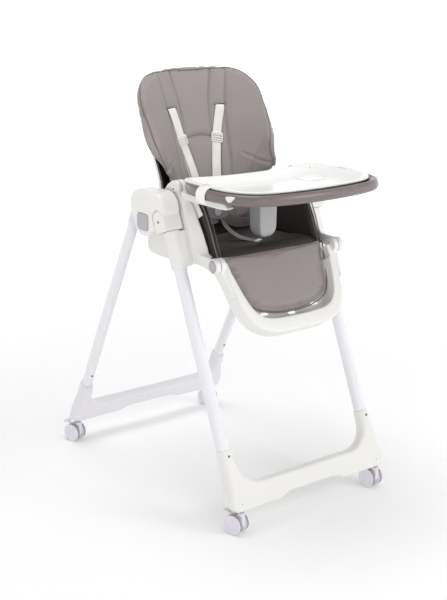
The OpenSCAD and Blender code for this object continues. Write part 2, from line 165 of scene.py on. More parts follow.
class Outline:
    """A closed, star-shaped outline that can be drawn smaller by g."""

    def __init__(self, pts, centre):
        self.p = np.array(pts, float)
        self.c = np.array(centre, float)
        q = self.p - self.c
        r = np.linalg.norm(q, axis=1)
        self.dir = q / r[:, None]
        self.r = r

    def __call__(self, g):
        if g == 0:
            return self.p.copy()
        loop = np.vstack([self.p, self.p[:1]])
        if g < 0:
            t = np.roll(self.p, -1, 0) - np.roll(self.p, 1, 0)
            n = np.stack([t[:, 1], -t[:, 0]], -1)
            n /= np.linalg.norm(n, axis=1)[:, None]
            if ((n * (self.p - self.c)).sum(1)).mean() < 0:
                n = -n
            return self.p - g * n
        lo, hi = np.zeros(len(self.r)), self.r.copy()
        for _ in range(16):
            mid = (lo + hi) / 2
            inside = line_dist(self.c + self.dir * mid[:, None], loop) > g
            lo = np.where(inside, mid, lo)
            hi = np.where(inside, hi, mid)
        return self.c + self.dir * lo[:, None]


def arc(cx, cy, r, a0, a1, n):
    a = np.radians(np.linspace(a0, a1, n))
    return np.stack([cx + r * np.cos(a), cy + r * np.sin(a)], -1)


def both(half):
    """A shape from one half of it, whose last point is on the middle line."""
    return half + [(-x, z) for x, z in half[::-1][1:]]


# ---------------------------------------------------------------- meshes
def add(name, verts, faces, mat, body=None, flip=False, smooth=True, sharp=None):
    """A mesh piece from millimetre points; flip makes the child's left-hand copy."""
    v = np.array(verts, float) * 0.001
    if flip:
        v[:, 0] *= -1
    me = bpy.data.meshes.new(name)
    me.from_pydata(v.tolist(), [], [list(map(int, f)) for f in faces])
    bm = bmesh.new()
    bm.from_mesh(me)
    bmesh.ops.recalc_face_normals(bm, faces=bm.faces)
    bm.to_mesh(me)
    bm.free()
    o = bpy.data.objects.new(name, me)
    bpy.context.scene.collection.objects.link(o)
    me.materials.append(mat)
    me.polygons.foreach_set("use_smooth", [smooth] * len(me.polygons))
    if sharp:
        me.set_sharp_from_angle(angle=rad(sharp))
    if body:
        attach(o, body)
    return o


def bake(o):
    """Turns an object's modifiers into its mesh."""
    dg = bpy.context.evaluated_depsgraph_get()
    me = bpy.data.meshes.new_from_object(o.evaluated_get(dg), preserve_all_data_layers=True, depsgraph=dg)
    old = o.data
    o.modifiers.clear()
    o.data = me
    if old.users == 0:
        bpy.data.meshes.remove(old)
    return o


def shade(o, angle=None):
    """Smooth shading that keeps the edges sharper than angle, in degrees."""
    o.data.polygons.foreach_set("use_smooth", [True] * len(o.data.polygons))
    if angle:
        o.data.set_sharp_from_angle(angle=rad(angle))
    return o


def mirrored(o, flip):
    """The part, turned into its right-hand copy when flip is set."""
    if flip:
        o.data.transform(Matrix.Diagonal((-1, 1, 1, 1)))
        o.data.flip_normals()
    return o


def settle(o, body, slot, *nodes):
    """Puts a piece on its body, in place of the CAD nodes named; slot is not used."""
    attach(o, body)
    if nodes:
        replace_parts(o, *nodes)
    return o


def edge_round(o, width, seg=3, angle=35):
    """Rounds the sharp edges of a hard part and evens its shading."""
    m = o.modifiers.new("bevel", "BEVEL")
    m.width, m.segments, m.limit_method, m.angle_limit = width * 0.001, seg, "ANGLE", rad(angle)
    m.miter_outer = "MITER_ARC"
    shade(bake(o))
    w = o.modifiers.new("weigh", "WEIGHTED_NORMAL")
    w.weight = 80
    return bake(o)


def prism(name, poly, d0, d1, to, mat, body, flip=False, edge=1.5, seg=3, slot=None, order="yz"):
    """An outline pushed along its normal, with rounded edges. order says which axes it lies on."""
    P = np.array(poly, float)
    n = len(P)

    def put(d):
        z = np.full(n, float(d))
        return np.stack([z, P[:, 0], P[:, 1]] if order == "yz" else [P[:, 0], z, P[:, 1]], -1)

    f = [list(range(n))[::-1], list(range(n, 2 * n))]
    f += [[i, (i + 1) % n, n + (i + 1) % n, n + i] for i in range(n)]
    o = add(name, np.vstack([to(put(d0)), to(put(d1))]), f, mat, None, flip)
    if edge:
        edge_round(o, edge, seg)
    return settle(o, body, slot) if body else o


def carve(o, tool):
    """Cuts the tool's shape out of o and removes the tool."""
    m = o.modifiers.new("cut", "BOOLEAN")
    m.operation, m.object, m.solver = "DIFFERENCE", tool, "EXACT"
    bake(o)
    bpy.data.objects.remove(tool)
    return o


def loft(rings, closed=False, caps=True):
    """Vertices and quads through rings of points, each ring closed on itself."""
    R = [np.array(r, float) for r in rings]
    n = len(R[0])
    v = np.vstack(R)
    f = []
    for i in range(len(R) - (0 if closed else 1)):
        a, b = i * n, ((i + 1) % len(R)) * n
        for k in range(n):
            k2 = (k + 1) % n
            f.append([a + k, a + k2, b + k2, b + k])
    if caps and not closed:
        f.append(list(range(n))[::-1])
        f.append([(len(R) - 1) * n + k for k in range(n)])
    return v, f


def merge(parts):
    """One list of vertices and one of faces from several."""
    V, F, start = [], [], 0
    for v, f in parts:
        V.append(v)
        F += [[i + start for i in q] for q in f]
        start += len(v)
    return np.vstack(V), F


def tube(points, r, n=32):
    """Rings of radius r (number or list) round a path."""
    P = np.array(points, float)
    rr = np.broadcast_to(np.asarray(r, float), (len(P),))
    T = tangents(P)
    up = np.array([0.0, 0.0, 1.0]) if abs(T[0][2]) < 0.9 else np.array([1.0, 0.0, 0.0])
    u = unit(np.cross(T[0], up))
    a = np.linspace(0, 2 * math.pi, n, endpoint=False)
    rings = []
    for p, t, q in zip(P, T, rr):
        u = unit(u - t * (u @ t))
        w = np.cross(t, u)
        rings.append(p + q * (np.cos(a)[:, None] * u + np.sin(a)[:, None] * w))
    return rings


def lathe(profile, centre, axis, n=48):
    """Rings of (along, radius) steps turned about an axis."""
    c, ax = np.array(centre, float), unit(axis)
    u = np.cross(ax, [0, 0, 1.0])
    if np.linalg.norm(u) < 1e-3:
        u = np.array([1.0, 0, 0])
    u = unit(u)
    w = np.cross(ax, u)
    a = np.linspace(0, 2 * math.pi, n, endpoint=False)
    circle = np.cos(a)[:, None] * u + np.sin(a)[:, None] * w
    return [c + ax * s + max(q, 0.01) * circle for s, q in profile]


def turned(name, profile, centre, axis, n, mat, body=None, flip=False, sharp=40, to=WORLD,
        closed=False):
    """A lathed piece. closed joins its last ring to its first, as on a tube."""
    v, f = loft([to(q) for q in lathe(profile, centre, axis, n)], closed)
    return add(name, v, f, mat, body, flip, sharp=sharp)


def rounded(w, h, r, n=6):
    """A rounded rectangle centred on the origin."""
    r = min(r, w / 2 - 0.01, h / 2 - 0.01)
    out = []
    for sx, sy, a in ((1, 1, 0), (-1, 1, 90), (-1, -1, 180), (1, -1, 270)):
        out.append(arc(sx * (w / 2 - r), sy * (h / 2 - r), r, a, a + 90, n))
    return np.vstack(out)


def ribbon(name, path, side, normal, width, thick, mat, body, edge):
    """A flat strap along a path; side and normal are its width and face directions at each point."""
    sec = rounded(width, thick, edge, 3)
    v, f = loft([p + sec[:, :1] * s + sec[:, 1:] * m for p, s, m in zip(path, side, normal)])
    return add(name, v, f, mat, body, sharp=60)


# ---------------------------------------------------------------- materials
def lin(c):
    c = np.array(c, float) / 255
    return np.where(c <= 0.04045, c / 12.92, ((c + 0.055) / 1.055) ** 2.4)


def wire(tree, kind, values, **options):
    """A shader node. A value that is a socket is linked to the input, any other is set on it."""
    node = tree.nodes.new("ShaderNode" + kind)
    for key, value in options.items():
        setattr(node, key, value)
    for key, value in values.items():
        if isinstance(value, bpy.types.NodeSocket):
            tree.links.new(value, node.inputs[key])
        else:
            node.inputs[key].default_value = value
    return node


def material(name, rgb, rough, vary, scale, grain=0.0, size=0.8, kind="noise", rough_vary=0.05, **sockets):
    """A procedural finish: slow tone changes, fine grain in the bump and uneven gloss."""
    m = bpy.data.materials.new(name)
    m.use_nodes = True
    nt = m.node_tree
    fine = 1000 / size  # cells or threads to the metre
    where = wire(nt, "TexCoord", {}).outputs["Object"]
    slow = wire(nt, "TexNoise", {"Scale": scale, "Detail": 4, "Vector": where}).outputs["Fac"]
    ramp = wire(nt, "ValToRGB", {"Fac": slow})
    for k, place, tone in ((0, 0.3, 1 - vary), (1, 0.7, 1 + vary)):
        ramp.color_ramp.elements[k].position = place
        ramp.color_ramp.elements[k].color = (*np.clip(lin(rgb) * tone, 0, 1), 1)
    colour = ramp.outputs["Color"]
    if kind == "leather":
        warp = wire(nt, "TexNoise", {"Scale": 260, "Vector": where}).outputs["Color"]
        bent = wire(nt, "VectorMath", {0: warp, 1: (0.0012,) * 3, 2: where}, operation="MULTIPLY_ADD")
        cells = wire(nt, "TexVoronoi", {"Scale": fine, "Vector": bent.outputs[0]},
            feature="DISTANCE_TO_EDGE")
        height = wire(nt, "MapRange", {"From Max": 0.22,
            "Value": cells.outputs["Distance"]}).outputs["Result"]
        tint = (0.9, 0.89, 0.885, 1)
    elif kind == "weave":
        axes = wire(nt, "SeparateXYZ", {0: where}).outputs
        waves = {}
        for k, axis, pitch in ((0, "X", 1.25), (1, "Z", 1.0)):
            turn = wire(nt, "Math", {0: axes[axis], 1: 2 * math.pi * fine / pitch}, operation="MULTIPLY")
            waves[k] = wire(nt, "Math", {0: turn.outputs[0]}, operation="SINE").outputs[0]
        both = wire(nt, "Math", waves, operation="MULTIPLY").outputs[0]
        height = wire(nt, "MapRange", {"From Min": -1, "Value": both}).outputs["Result"]
        tint = (0.8, 0.79, 0.77, 1)
    else:
        height = wire(nt, "TexNoise", {"Scale": fine, "Detail": 2, "Vector": where}).outputs["Fac"]
    if kind != "noise":
        low = wire(nt, "Math", {0: 1.0, 1: height}, operation="SUBTRACT").outputs[0]
        colour = wire(nt, "MixRGB", {"Fac": low, "Color1": colour, "Color2": tint},
            blend_type="MULTIPLY").outputs["Color"]
    gloss = wire(nt, "MapRange", {"To Min": rough - rough_vary, "To Max": rough + rough_vary,
        "Value": slow})
    bsdf = nt.nodes["Principled BSDF"]
    nt.links.new(colour, bsdf.inputs["Base Color"])
    nt.links.new(gloss.outputs["Result"], bsdf.inputs["Roughness"])
    if grain:
        bump = wire(nt, "Bump", {"Strength": min(1.0, grain), "Distance": 0.0003, "Height": height})
        nt.links.new(bump.outputs["Normal"], bsdf.inputs["Normal"])
    for key, value in sockets.items():
        bsdf.inputs[key.replace("_", " ")].default_value = value
    return m


WHITE = material("white_moulded", (231, 230, 227), 0.34, 0.012, 7, 0.10, 0.5)
COOL = material("white_moulded_rear", (226, 224, 228), 0.36, 0.012, 7, 0.10, 0.5)
TUBE = material("painted_tube", (231, 230, 234), 0.24, 0.012, 6, 0.05, 0.9, Coat_Weight=0.35,
    Coat_Roughness=0.12)
GREY = material("grey_moulded", (176, 173, 180), 0.45, 0.03, 14, 0.22, 0.35)
POST = material("post_grey", (172, 172, 174), 0.42, 0.03, 10, 0.18, 0.35)
WHEEL = material("wheel_moulded", (224, 221, 230), 0.3, 0.02, 30, 0.08, 0.5)
TREAD = material("wheel_tread", (150, 146, 150), 0.6, 0.05, 60, 0.3, 0.4, rough_vary=0.08)
RIM = material("tray_rim", (116, 105, 105), 0.27, 0.03, 9, 0.14, 0.4)
INSERT = material("tray_insert", (240, 240, 239), 0.2, 0.01, 6, 0.05, 0.5, rough_vary=0.04)
LEATHER = material("coated_upholstery", (150, 142, 141), 0.44, 0.035, 11, 0.34, 1.1, "leather",
    Sheen_Weight=0.12, Sheen_Roughness=0.4)
# the seat's floor pad and bolsters: the same upholstery made much darker, as painted shade from the tray
# above
SEAT_PAINTED_SHADE = material("coated_upholstery_seat_painted_shade", (48, 41, 39), 0.56, 0.035, 11, 0.34, 1.1, "leather")
PIPING = material("upholstery_binding", (122, 113, 112), 0.5, 0.05, 25, 0.35, 0.9, "leather")
THREAD = material("stitch_thread", (112, 103, 102), 0.7, 0.06, 200, 0.3, 0.3, rough_vary=0.08)
LINER = material("liner_fabric", (36, 28, 29), 0.85, 0.12, 30, 0.5, 1.4, "weave")
DARK = material("dark_moulded", (44, 36, 36), 0.55, 0.08, 14, 0.25, 0.5, rough_vary=0.06)
WEB = material("cream_webbing", (244, 241, 235), 0.72, 0.04, 30, 0.6, 1.7, "weave", rough_vary=0.06,
    Sheen_Weight=0.15)
WEBSIDE = material("cream_moulded", (238, 235, 226), 0.36, 0.02, 20, 0.12, 0.5)
GREYWEB = material("grey_webbing", (132, 126, 126), 0.75, 0.06, 30, 0.6, 1.7, "weave", rough_vary=0.06)
BUCKLE = material("buckle_grey", (122, 123, 122), 0.42, 0.03, 20, 0.2, 0.4)
STEEL = material("turned_steel", (165, 165, 168), 0.3, 0.05, 40, 0.2, 0.3, rough_vary=0.08, Metallic=1.0)
BLACK = material("screw_black", (34, 32, 34), 0.4, 0.1, 60, 0.2, 0.4, rough_vary=0.08)


# ---------------------------------------------------------------- legs and feet
def leg(name, to, r, s0, s1, body, node, flip):
    prof = [(s0, r - 1.6), (s0, r - 0.4), (s0 + 0.4, r), (s1 - 0.4, r), (s1, r - 0.4), (s1, r - 1.6)]
    o = turned(name, prof, (0, 0, 0), (0, 0, 1), 72, TUBE, body, flip, 40, to, True)
    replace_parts(o, node)


def foot(name, to, lean, half_b, half_t, inner, bar, top, fillet, mat, body, node):
    """A U of moulded plastic: a bar on the floor side with a round socket arm at each end."""
    v0, t1 = ((z - FOOT_Z) / math.cos(rad(lean)) for z in (bar, top))
    outer = [(-half_t, t1), (-half_t, t1 * 0.7), (-half_b + 1, 50), (-half_b - 1, 32), (-half_b - 1.5, 18),
        (-half_b + 1, 8), (-half_b + 7, 2), (-half_b + 16, 0.2), (-half_b + 32, 0), (-150, 0), (-112, 0.3),
        (-98, 3), (-84, 9), (-70, 11), (-36, 11), (0, 11)]
    inn = [(-inner, t1), (-inner, t1 * 0.86)]
    inn += [tuple(p) for p in arc(fillet - inner, v0 + fillet, fillet, 180, 270, 6)]
    inn += [(-inner + fillet + 40, v0), (-50, v0), (0, v0)]
    inn = [p for i, p in enumerate(inn) if i == 0 or p[1] <= t1 * 0.87]
    O, I = (np.vstack([C, (C * [-1, 1])[::-1][1:]]) for C in (spline(outer, 74), spline(inn, 74)))
    upright = to(np.array([0, 0, 1.0])) - to.origin
    across = np.array([0, math.cos(rad(lean)), -np.sign(upright[1]) * math.sin(rad(lean))])
    m = len(O)

    def ring(o, i, grow, lift):
        c, w = (o + i) / 2, np.linalg.norm(o - i)
        d = (o - i) / w
        r = np.interp(c[1], [30, 70, 130], [10.5, 13.5, 17.4]) - grow
        sec = rounded(w - 2 * grow, 38 - 2 * grow, max(r, 1), 8)
        p = c + sec[:, :1] * d + np.array([0, lift])
        blend = np.interp(p[:, 1], [14, 70], [0, 1])
        # level on the floor side, square to the arms higher up
        facing = unit(np.array([0, 1.0, 0]) * (1 - blend[:, None]) + across * blend[:, None])
        return to(np.stack([p[:, 0], np.zeros(len(p)), p[:, 1]], -1)) + sec[:, 1:] * facing

    lip = ((6.5, 1.6), (2.4, 1.2), (0.7, 0))
    rings = [ring(O[0], I[0], g, u) for g, u in lip]
    rings += [ring(O[k], I[k], 0, -1.2 if k in (0, m - 1) else 0) for k in range(m)]
    rings += [ring(O[-1], I[-1], g, u) for g, u in lip[::-1]]
    v, f = loft(rings)
    v[:, 2] = np.maximum(v[:, 2], FOOT_Z)  # flat, where the casters' stems enter
    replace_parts(add(name, v, f, mat, body, sharp=50), node)


# section of a socket's collar: along the tube and out from it
COLLAR = ((-16, 0.1), (-16, 2.6), (4, 2.6), (5.6, 2.0), (6.2, 0.8), (6.2, 0.1))
for side, flip in SIDES:
    leg("front_tube_" + side, FRONT_LEG, 16, 30, 744, "frame", "front_leg_" + side, flip)
    leg("rear_tube_" + side, REAR_LEG, 14, 30, 734.6, "rear_frame", "rear_leg_" + side, flip)
    # collars standing a little proud of the sockets
    for name, to, r, s, body, mat in (
        ("front_collar_", FRONT_LEG, 16, 136.5, "frame", WHITE),
        ("rear_collar_", REAR_LEG, 14, 134.5, "rear_frame", COOL),
    ):
        prof = [(s + along, r + out) for along, out in COLLAR]
        turned(name + side, prof, (0, 0, 0), (0, 0, 1), 64, mat, body, flip, 50, to, True)
foot("front_foot_moulding", FRONT_FOOT, 24.5, 245, 242, 206, 112, 186, 62, WHITE, "frame", "front_foot")
foot("rear_foot_moulding", REAR_FOOT, 22, 256, 248, 211, 112, 180, 38, COOL, "rear_frame", "rear_foot")


def screw(name, centre, axis, body, r, flip):
    """A cross-head screw sitting in the surface."""
    prof = [(-3, r * 0.6), (-0.3, r), (0.2, r), (0.7, r * 0.8), (1.0, r * 0.45), (0.2, r * 0.4), (0.1, 0)]
    turned(name, prof, centre, axis, 24, BLACK, body, flip)


front_out = (0, -math.cos(rad(FRONT_LEAN)), math.sin(rad(FRONT_LEAN)))
rear_out = (0, -math.cos(rad(REAR_LEAN)), -math.sin(rad(REAR_LEAN)))
for side, flip in SIDES:
    screw("foot_screw_front_" + side, FRONT_LEG((0, -19.6, 128)), front_out, "frame", 3.2, flip)
    screw("foot_screw_rear_" + side, REAR_LEG((0, -17.6, 118)), rear_out, "rear_frame", 3.2, flip)
    screw("tube_screw_top_" + side, (-243.5, 59, 695), (-1, 0.1, 0.1), "rear_frame", 3.0, flip)
    screw("tube_screw_rear_" + side, REAR_LEG((0, -14.2, 180)), rear_out, "rear_frame", 3.0, flip)


# ---------------------------------------------------------------- hubs
def hub_outline(n=120):
    """The convex outline, in (y, z), round three discs."""
    out = []
    for k in range(n):
        a = 2 * math.pi * k / n
        ca, sa = math.cos(a), math.sin(a)
        y, z, r = max(((0, 745, 40), (-64, 744, 42), (-19, 711, 43)),
            key=lambda q: q[0] * ca + q[1] * sa + q[2])
        out.append((y + r * ca, z + r * sa))
    # the points are even in angle, so the long flats need more steps
    P = np.array(out + out[:1])
    L = lengths(P)
    s = np.linspace(0, L[-1], 160, endpoint=False)
    return np.stack([np.interp(s, L, P[:, k]) for k in range(2)], -1)


def cutter(poly, d0, d1, to=WORLD, order="yz"):
    """A sharp-edged prism, to cut with or to fuse."""
    return prism("tool", poly, d0, d1, to, BLACK, None, edge=0, order=order)


def yz(x, P):
    """Outline points (y, z) set at one x."""
    return np.stack([np.full(len(P), float(x)), P[:, 0], P[:, 1]], -1)


def box_of(lo, hi, to=WORLD):
    """A plain box, to cut with or to fuse."""
    (a, b, c), (d, e, g) = lo, hi
    corners = [(x, y, z) for z in (c, g) for x, y in ((a, b), (d, b), (d, e), (a, e))]
    faces = [(0, 1, 2, 3), (4, 5, 6, 7), (0, 1, 5, 4), (1, 2, 6, 5), (2, 3, 7, 6), (3, 0, 4, 7)]
    return add("tool", to(np.array(corners, float)), faces, BLACK)


def cheek(g):
    """The knuckle's outline in the leg's own plane, grown by g."""
    return np.vstack([[(-21.5 - g, 684)], [(21.5 + g, 684)], arc(0, 717, 21.5 + g, 0, 180, 25)])


for side, flip in SIDES:
    hub = Outline(hub_outline(), (-24, 740))
    rings = [yz(-256.0, hub(26)), yz(-256.0, hub(15))]
    for a in np.linspace(math.pi / 2, 0, 8):
        rings.append(yz(-256 + 11 * (1 - math.sin(a)), hub(11 * (1 - math.cos(a)))))
    for a in np.linspace(0, math.pi / 2, 5):
        rings.append(yz(-205 - 3.5 * (1 - math.sin(a)), hub(3.5 * (1 - math.cos(a)))))
    v, f = loft(rings)
    cover = add("hub_cover_" + side, v, f, WHITE)
    rear = [(90, 738), (90, 620), (-56, 620), (-56, 690), (-38, 716)]
    hollow = [(-36, 781.5), (0, 782), *arc(0, 745, 37, 80, -8, 12), *rear]
    for tool in (
        cutter(hollow, -250, -209.5),
        cutter(cheek(0.45), -60, 40, FRONT_LEG),
        cutter([(-60, 640), (40, 640), (40, 684.5), (-60, 684.5)], -60, 40, FRONT_LEG),
        cutter(rounded(47.6, 42.6, 9) + np.array([-22.5, 707]), -262, -249.5),
    ):
        carve(cover, tool)
    edge_round(shade(mirrored(cover, flip), 38), 0.55, 2, 38)
    settle(cover, "frame", "white_shell", "hub_casing_" + side)
    # knuckle block under the cover, round the leg's head
    o = prism("hub_knuckle_block_" + side, cheek(0), -31.4, 22.5, FRONT_LEG, WHITE, None, flip, edge=0)
    settle(edge_round(o, 4.0, 5, 50), "frame", "white_shell", "hub_knuckle_" + side)
    screw("knuckle_screw_" + side, FRONT_LEG((-31.2, 0, 710)), (-1, 0, 0), "frame", 3.3, flip)
    # fold button, slightly domed with a finger rim
    btn = Outline(rounded(45.4, 40.4, 8.5, 8) + np.array([-22.5, 707]), (-22.5, 707))
    dome = ((-250.2, 0), (-257.2, 0), (-258.4, 0.5), (-259.0, 1.8), (-259.0, 4), (-258.5, 5.4), (-258.3, 9),
        (-258.5, 15))
    v, f = loft([yz(x, btn(g)) for x, g in dome])
    o = add("fold_button_cap_" + side, v, f, GREY, "fold_release_" + side, flip,
        sharp=40)
    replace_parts(o, "fold_button_" + side)


# ---------------------------------------------------------------- seat carriage
def fuse(name, parts, voxel, iters, mat):
    """Several closed solids run together into one softly rounded moulding."""
    bm = bmesh.new()
    for o in parts:
        me = o.data.copy()
        me.transform(o.matrix_world)
        bm.from_mesh(me)
        bpy.data.meshes.remove(me)
    me = bpy.data.meshes.new(name)
    bm.to_mesh(me)
    bm.free()
    for o in parts:
        if o.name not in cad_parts:
            bpy.data.objects.remove(o)
    o = bpy.data.objects.new(name, me)
    bpy.context.scene.collection.objects.link(o)
    r = o.modifiers.new("remesh", "REMESH")
    r.mode, r.voxel_size, r.use_smooth_shade = "VOXEL", voxel * 0.001, True
    s = o.modifiers.new("smooth", "SMOOTH")
    s.factor, s.iterations = 0.5, iters
    bake(o)
    o.data.materials.clear()
    o.data.materials.append(mat)
    return shade(o)


def cylinder(a, b, r, n=48, to=WORLD):
    """A plain round bar from a to b, to cut with or to fuse."""
    a, b = np.array(a, float), np.array(b, float)
    return turned("tool", [(0, r), (np.linalg.norm(b - a), r)], a, b - a, n, BLACK, sharp=None, to=to)


# edge lines of the side panel in (y, z): its front ridge, the inner lip of its flange, its top and rear
RIDGE = spline([(-66, 806), (-78, 790), (-93, 771), (-107, 756), (-119, 736), (-131, 708), (-143, 680),
    (-156, 656), (-172, 646), (-196, 645), (-214, 644)], 70)
LIP = spline([(-78, 803), (-92, 787), (-106, 771), (-117, 757), (-132, 737), (-150, 711), (-165, 687),
    (-177, 664), (-188, 652), (-204, 648), (-216, 645)], 70)
TOP_REAR = spline([(-62, 806), (-46, 797), (-32, 782), (-22, 764), (-10, 738), (4, 712), (22, 686),
    (40, 661), (47, 642), (46, 622), (36, 612), (14, 610), (-40, 610), (-118, 615), (-160, 619),
    (-190, 617), (-215, 612)], 90)

for side, flip in SIDES:
    # side wing: an outer skin with a wide front flange turned in towards the cushion
    skin = np.vstack([RIDGE, arc(-230, 627, 19, 120, 322, 26), TOP_REAR[::-1]])
    parts = [cutter(skin, -198, -192)]
    reach = table(np.linspace(0, 1, 70), [(0, 0.12), (0.1, 0.5), (0.25, 1), (0.8, 1), (0.9, 0.75),
        (1, 0.5)])
    rings = []
    for p, q, w in zip(RIDGE, LIP, reach):
        q = p + (q - p) * w
        x1 = -198 + 21.0 * w
        d = unit(q - p)
        rings.append(np.array([(-198, *p), (x1 - 1.5, *q), (x1 + 2.4, *(q - d)),
            (x1 + 3.6, *(q - d * 4.0 + [1.5, 0])), (-193, *(p + [4.5, 0.5])), (-197.5, *(p + [6, 0.5]))]))
    v, f = loft(rings)
    parts.append(add("tool", v, f, BLACK))
    edge = TOP_REAR[:52]
    along = tangents(edge)
    inward = np.stack([along[:, 1], -along[:, 0]], -1)
    if inward[20, 0] > 0:
        inward = -inward
    rings = []
    for p, q in zip(edge, edge + inward * 4):
        rings.append(np.array([(-198, *p), (-187, *p), (-187, *q), (-198, *q)]))
    v, f = loft(rings)
    parts.append(add("tool", v, f, BLACK))
    parts.append(cylinder((-198, *ARM_PIVOT), (-188, *ARM_PIVOT), 20.5))
    parts.append(cylinder((-199.5, *HINGE), (-186, *HINGE), 19))
    wing = fuse("seat_wing_" + side, parts, 1.6, 4, WHITE)
    carve(wing, cylinder((-205, *HINGE), (-180, *HINGE), 14.8))
    carve(wing, cylinder((-192.6, 34, 634), (-180, 34, 634), 6.6))
    carve(wing, cylinder((-205, *ARM_PIVOT), (-180, *ARM_PIVOT), 4.6))
    settle(shade(mirrored(wing, flip), 45), "seat", "white_shell", "side_panel_" + side)

    # sliding sleeve with a rear lobe that houses the height lever
    parts = [
        cylinder((0, 0, S0), (0, 0, S1), 20.5, 64, FRONT_LEG),
        box_of((8, -19.5, S0 + 3), (27.5, 19.5, S1 - 3), FRONT_LEG),
        box_of((-7.5, 10, S0 + 20), (7.5, 27.5, S1 - 14), FRONT_LEG),
        cylinder((0, 22, S0 + 22), (0, 22, S1 - 16), 8.5, 32, FRONT_LEG),
    ]
    sleeve = fuse("height_sleeve_" + side, parts, 1.5, 5, WHITE)
    carve(sleeve, cylinder((0, 0, S0 - 5), (0, 0, S1 + 5), 16.35, 64, FRONT_LEG))
    carve(sleeve, box_of((-4.6, 17.6, S0 + 34), (4.6, 34, S1 - 19), FRONT_LEG))
    # parting slit down the outside of the sleeve
    carve(sleeve, box_of((-24, 7.4, S0 + 22), (-14, 9.0, S1 - 18), FRONT_LEG))
    settle(shade(mirrored(sleeve, flip), 45), "seat", "white_shell", "seat_slider_" + side)
    tab = [(y, S1 - drop) for y, drop in ((18.4, 57), (26.5, 55), (28.6, 40), (28.0, 24), (25, 20.5),
        (18.4, 21))]
    body = "height_release_" + side
    o = prism("height_lever_tab_" + side, tab, -4, 4, FRONT_LEG, GREY, body, flip, 1.2, 3, "grey_plastic")
    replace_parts(o, "height_lever_" + side)

    # armrest: a round lug and a slim arm that runs forward under the tray
    top = [(-73, 810), (-90, 805.5), (-104, 793), (-114, 786.5), (-130, 785.2), (-270, 785.2), (-286, 784),
        (-291.5, 777.5)]
    bar = [(-108, 788), (-128, 787.4), (-262, 787.4), (-282, 783), (-293, 776), (-284, 771), (-262, 769.6),
        (-128, 769.6), (-112, 771)]
    parts = [
        cylinder((-186.2, *ARM_PIVOT), (-172, *ARM_PIVOT), 21),
        cutter(bar, -202.5, -184),
        cutter(np.vstack([spline(top, 60)[:24], [(-132, 785), (-136, 770), (-112, 769), (-73, 768)]]),
            -186.2, -181),
    ]
    arm = fuse("armrest_arm_" + side, parts, 1.3, 4, WHITE)
    settle(mirrored(arm, flip), "seat", "white_shell", "armrest_" + side)
    # boss cap over the arm's pivot
    prof = [(-1, 3.8), (13, 3.8), (13, 9.6), (14.4, 9.4), (15.2, 8.6), (15.6, 7), (15.4, 3)]
    turned("armrest_pivot_cap_" + side, prof, (-184.5, *ARM_PIVOT), (-1, 0, 0), 40, WHITE, "seat", flip)
    screw("armrest_screw_" + side, (-199.6, *ARM_PIVOT), (-1, 0, 0), "seat", 2.6, flip)

    # footrest side button
    prof = [(0, 7.2), (7.2, 7.2), (7.2, 14), (17, 14), (18.3, 13.5), (19, 12.4), (19, 9.4), (18.4, 8.4),
        (18.5, 3)]
    body = "footrest_release_" + side
    o = turned("footrest_button_cap_" + side, prof, (-182, *HINGE), (-1, 0, 0), 56, GREY, body, flip)
    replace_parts(o, "footrest_button_" + side)


# black inner bucket: a floor with raised side walls
def u_section(y, wall_top):
    """The bucket's section at one y: a U with round corners, 5.5 mm thick at the walls."""
    faces = []
    for x, z, r in ((-169.5, 602, 16), (-164.0, 610, 9.6)):
        corner = [(x + r - r * math.cos(a), z + r - r * math.sin(a)) for a in np.radians([22, 45, 68, 90])]
        faces.append(both([(x, wall_top), (x, z + r), *corner, (-100, z), (0, z)]))
    return np.array([(px, y, pz) for px, pz in faces[0] + faces[1][::-1]], float)


# height of the bucket's walls along the seat, (y, z)
WALLS = [(-190, 648), (-186, 653), (-170, 676), (-150, 704), (-130, 731), (-112, 756), (-100, 768),
    (-80, 772), (-50, 772), (-20, 764), (-8, 740), (4, 712), (12, 690), (18, 660), (20, 650)]
v, f = loft([u_section(y, z) for y, z in WALLS])
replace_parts(add("seat_bucket_liner", v, f, DARK, "seat", sharp=40), "seat_pan")
for k, (y, z) in enumerate([(-120, 640), (-10, 640), (-80, 730)]):
    for side, flip in SIDES:
        name = "bucket_spacer_%d_%s" % (k, side)
        turned(name, [(0, 8), (21.5, 8)], (-191, y, z), (1, 0, 0), 24, DARK, "seat", flip)


# ---------------------------------------------------------------- footrest shell
def foot_out(n=150):
    """Outline of the footrest dish in its own plane (x, z), as seen from the front."""
    half = [(-171.5, 16), (-171, -8), (-170, -40), (-166, -80), (-160, -112), (-148, -143), (-128, -167),
        (-104, -181), (-74, -188.5), (-36, -190), (0, -190)]
    return np.vstack([spline(both(half), n), [(171, 20), (120, 20), (60, 20), (0, 20), (-60, 20),
        (-120, 20), (-171, 20)]])


def around(P, centre, angles):
    """Points of a star-shaped outline at given angles about a centre."""
    q = np.asarray(P, float) - centre
    th = np.unwrap(np.arctan2(q[:, 1], q[:, 0]))
    if th[-1] < th[0]:
        th, q = th[::-1], q[::-1]
    r = np.linalg.norm(q, axis=1)
    th3 = np.concatenate([th - 2 * math.pi, th, th + 2 * math.pi])
    rr = np.interp(angles, th3, np.concatenate([r, r, r]))
    return centre + rr[:, None] * np.stack([np.cos(angles), np.sin(angles)], -1)


def fplane(P, y):
    """Outline points (x, z) of the footrest set at depth y."""
    return FOOTREST(np.stack([P[:, 0], np.broadcast_to(np.asarray(y, float), (len(P),)), P[:, 1]], -1))


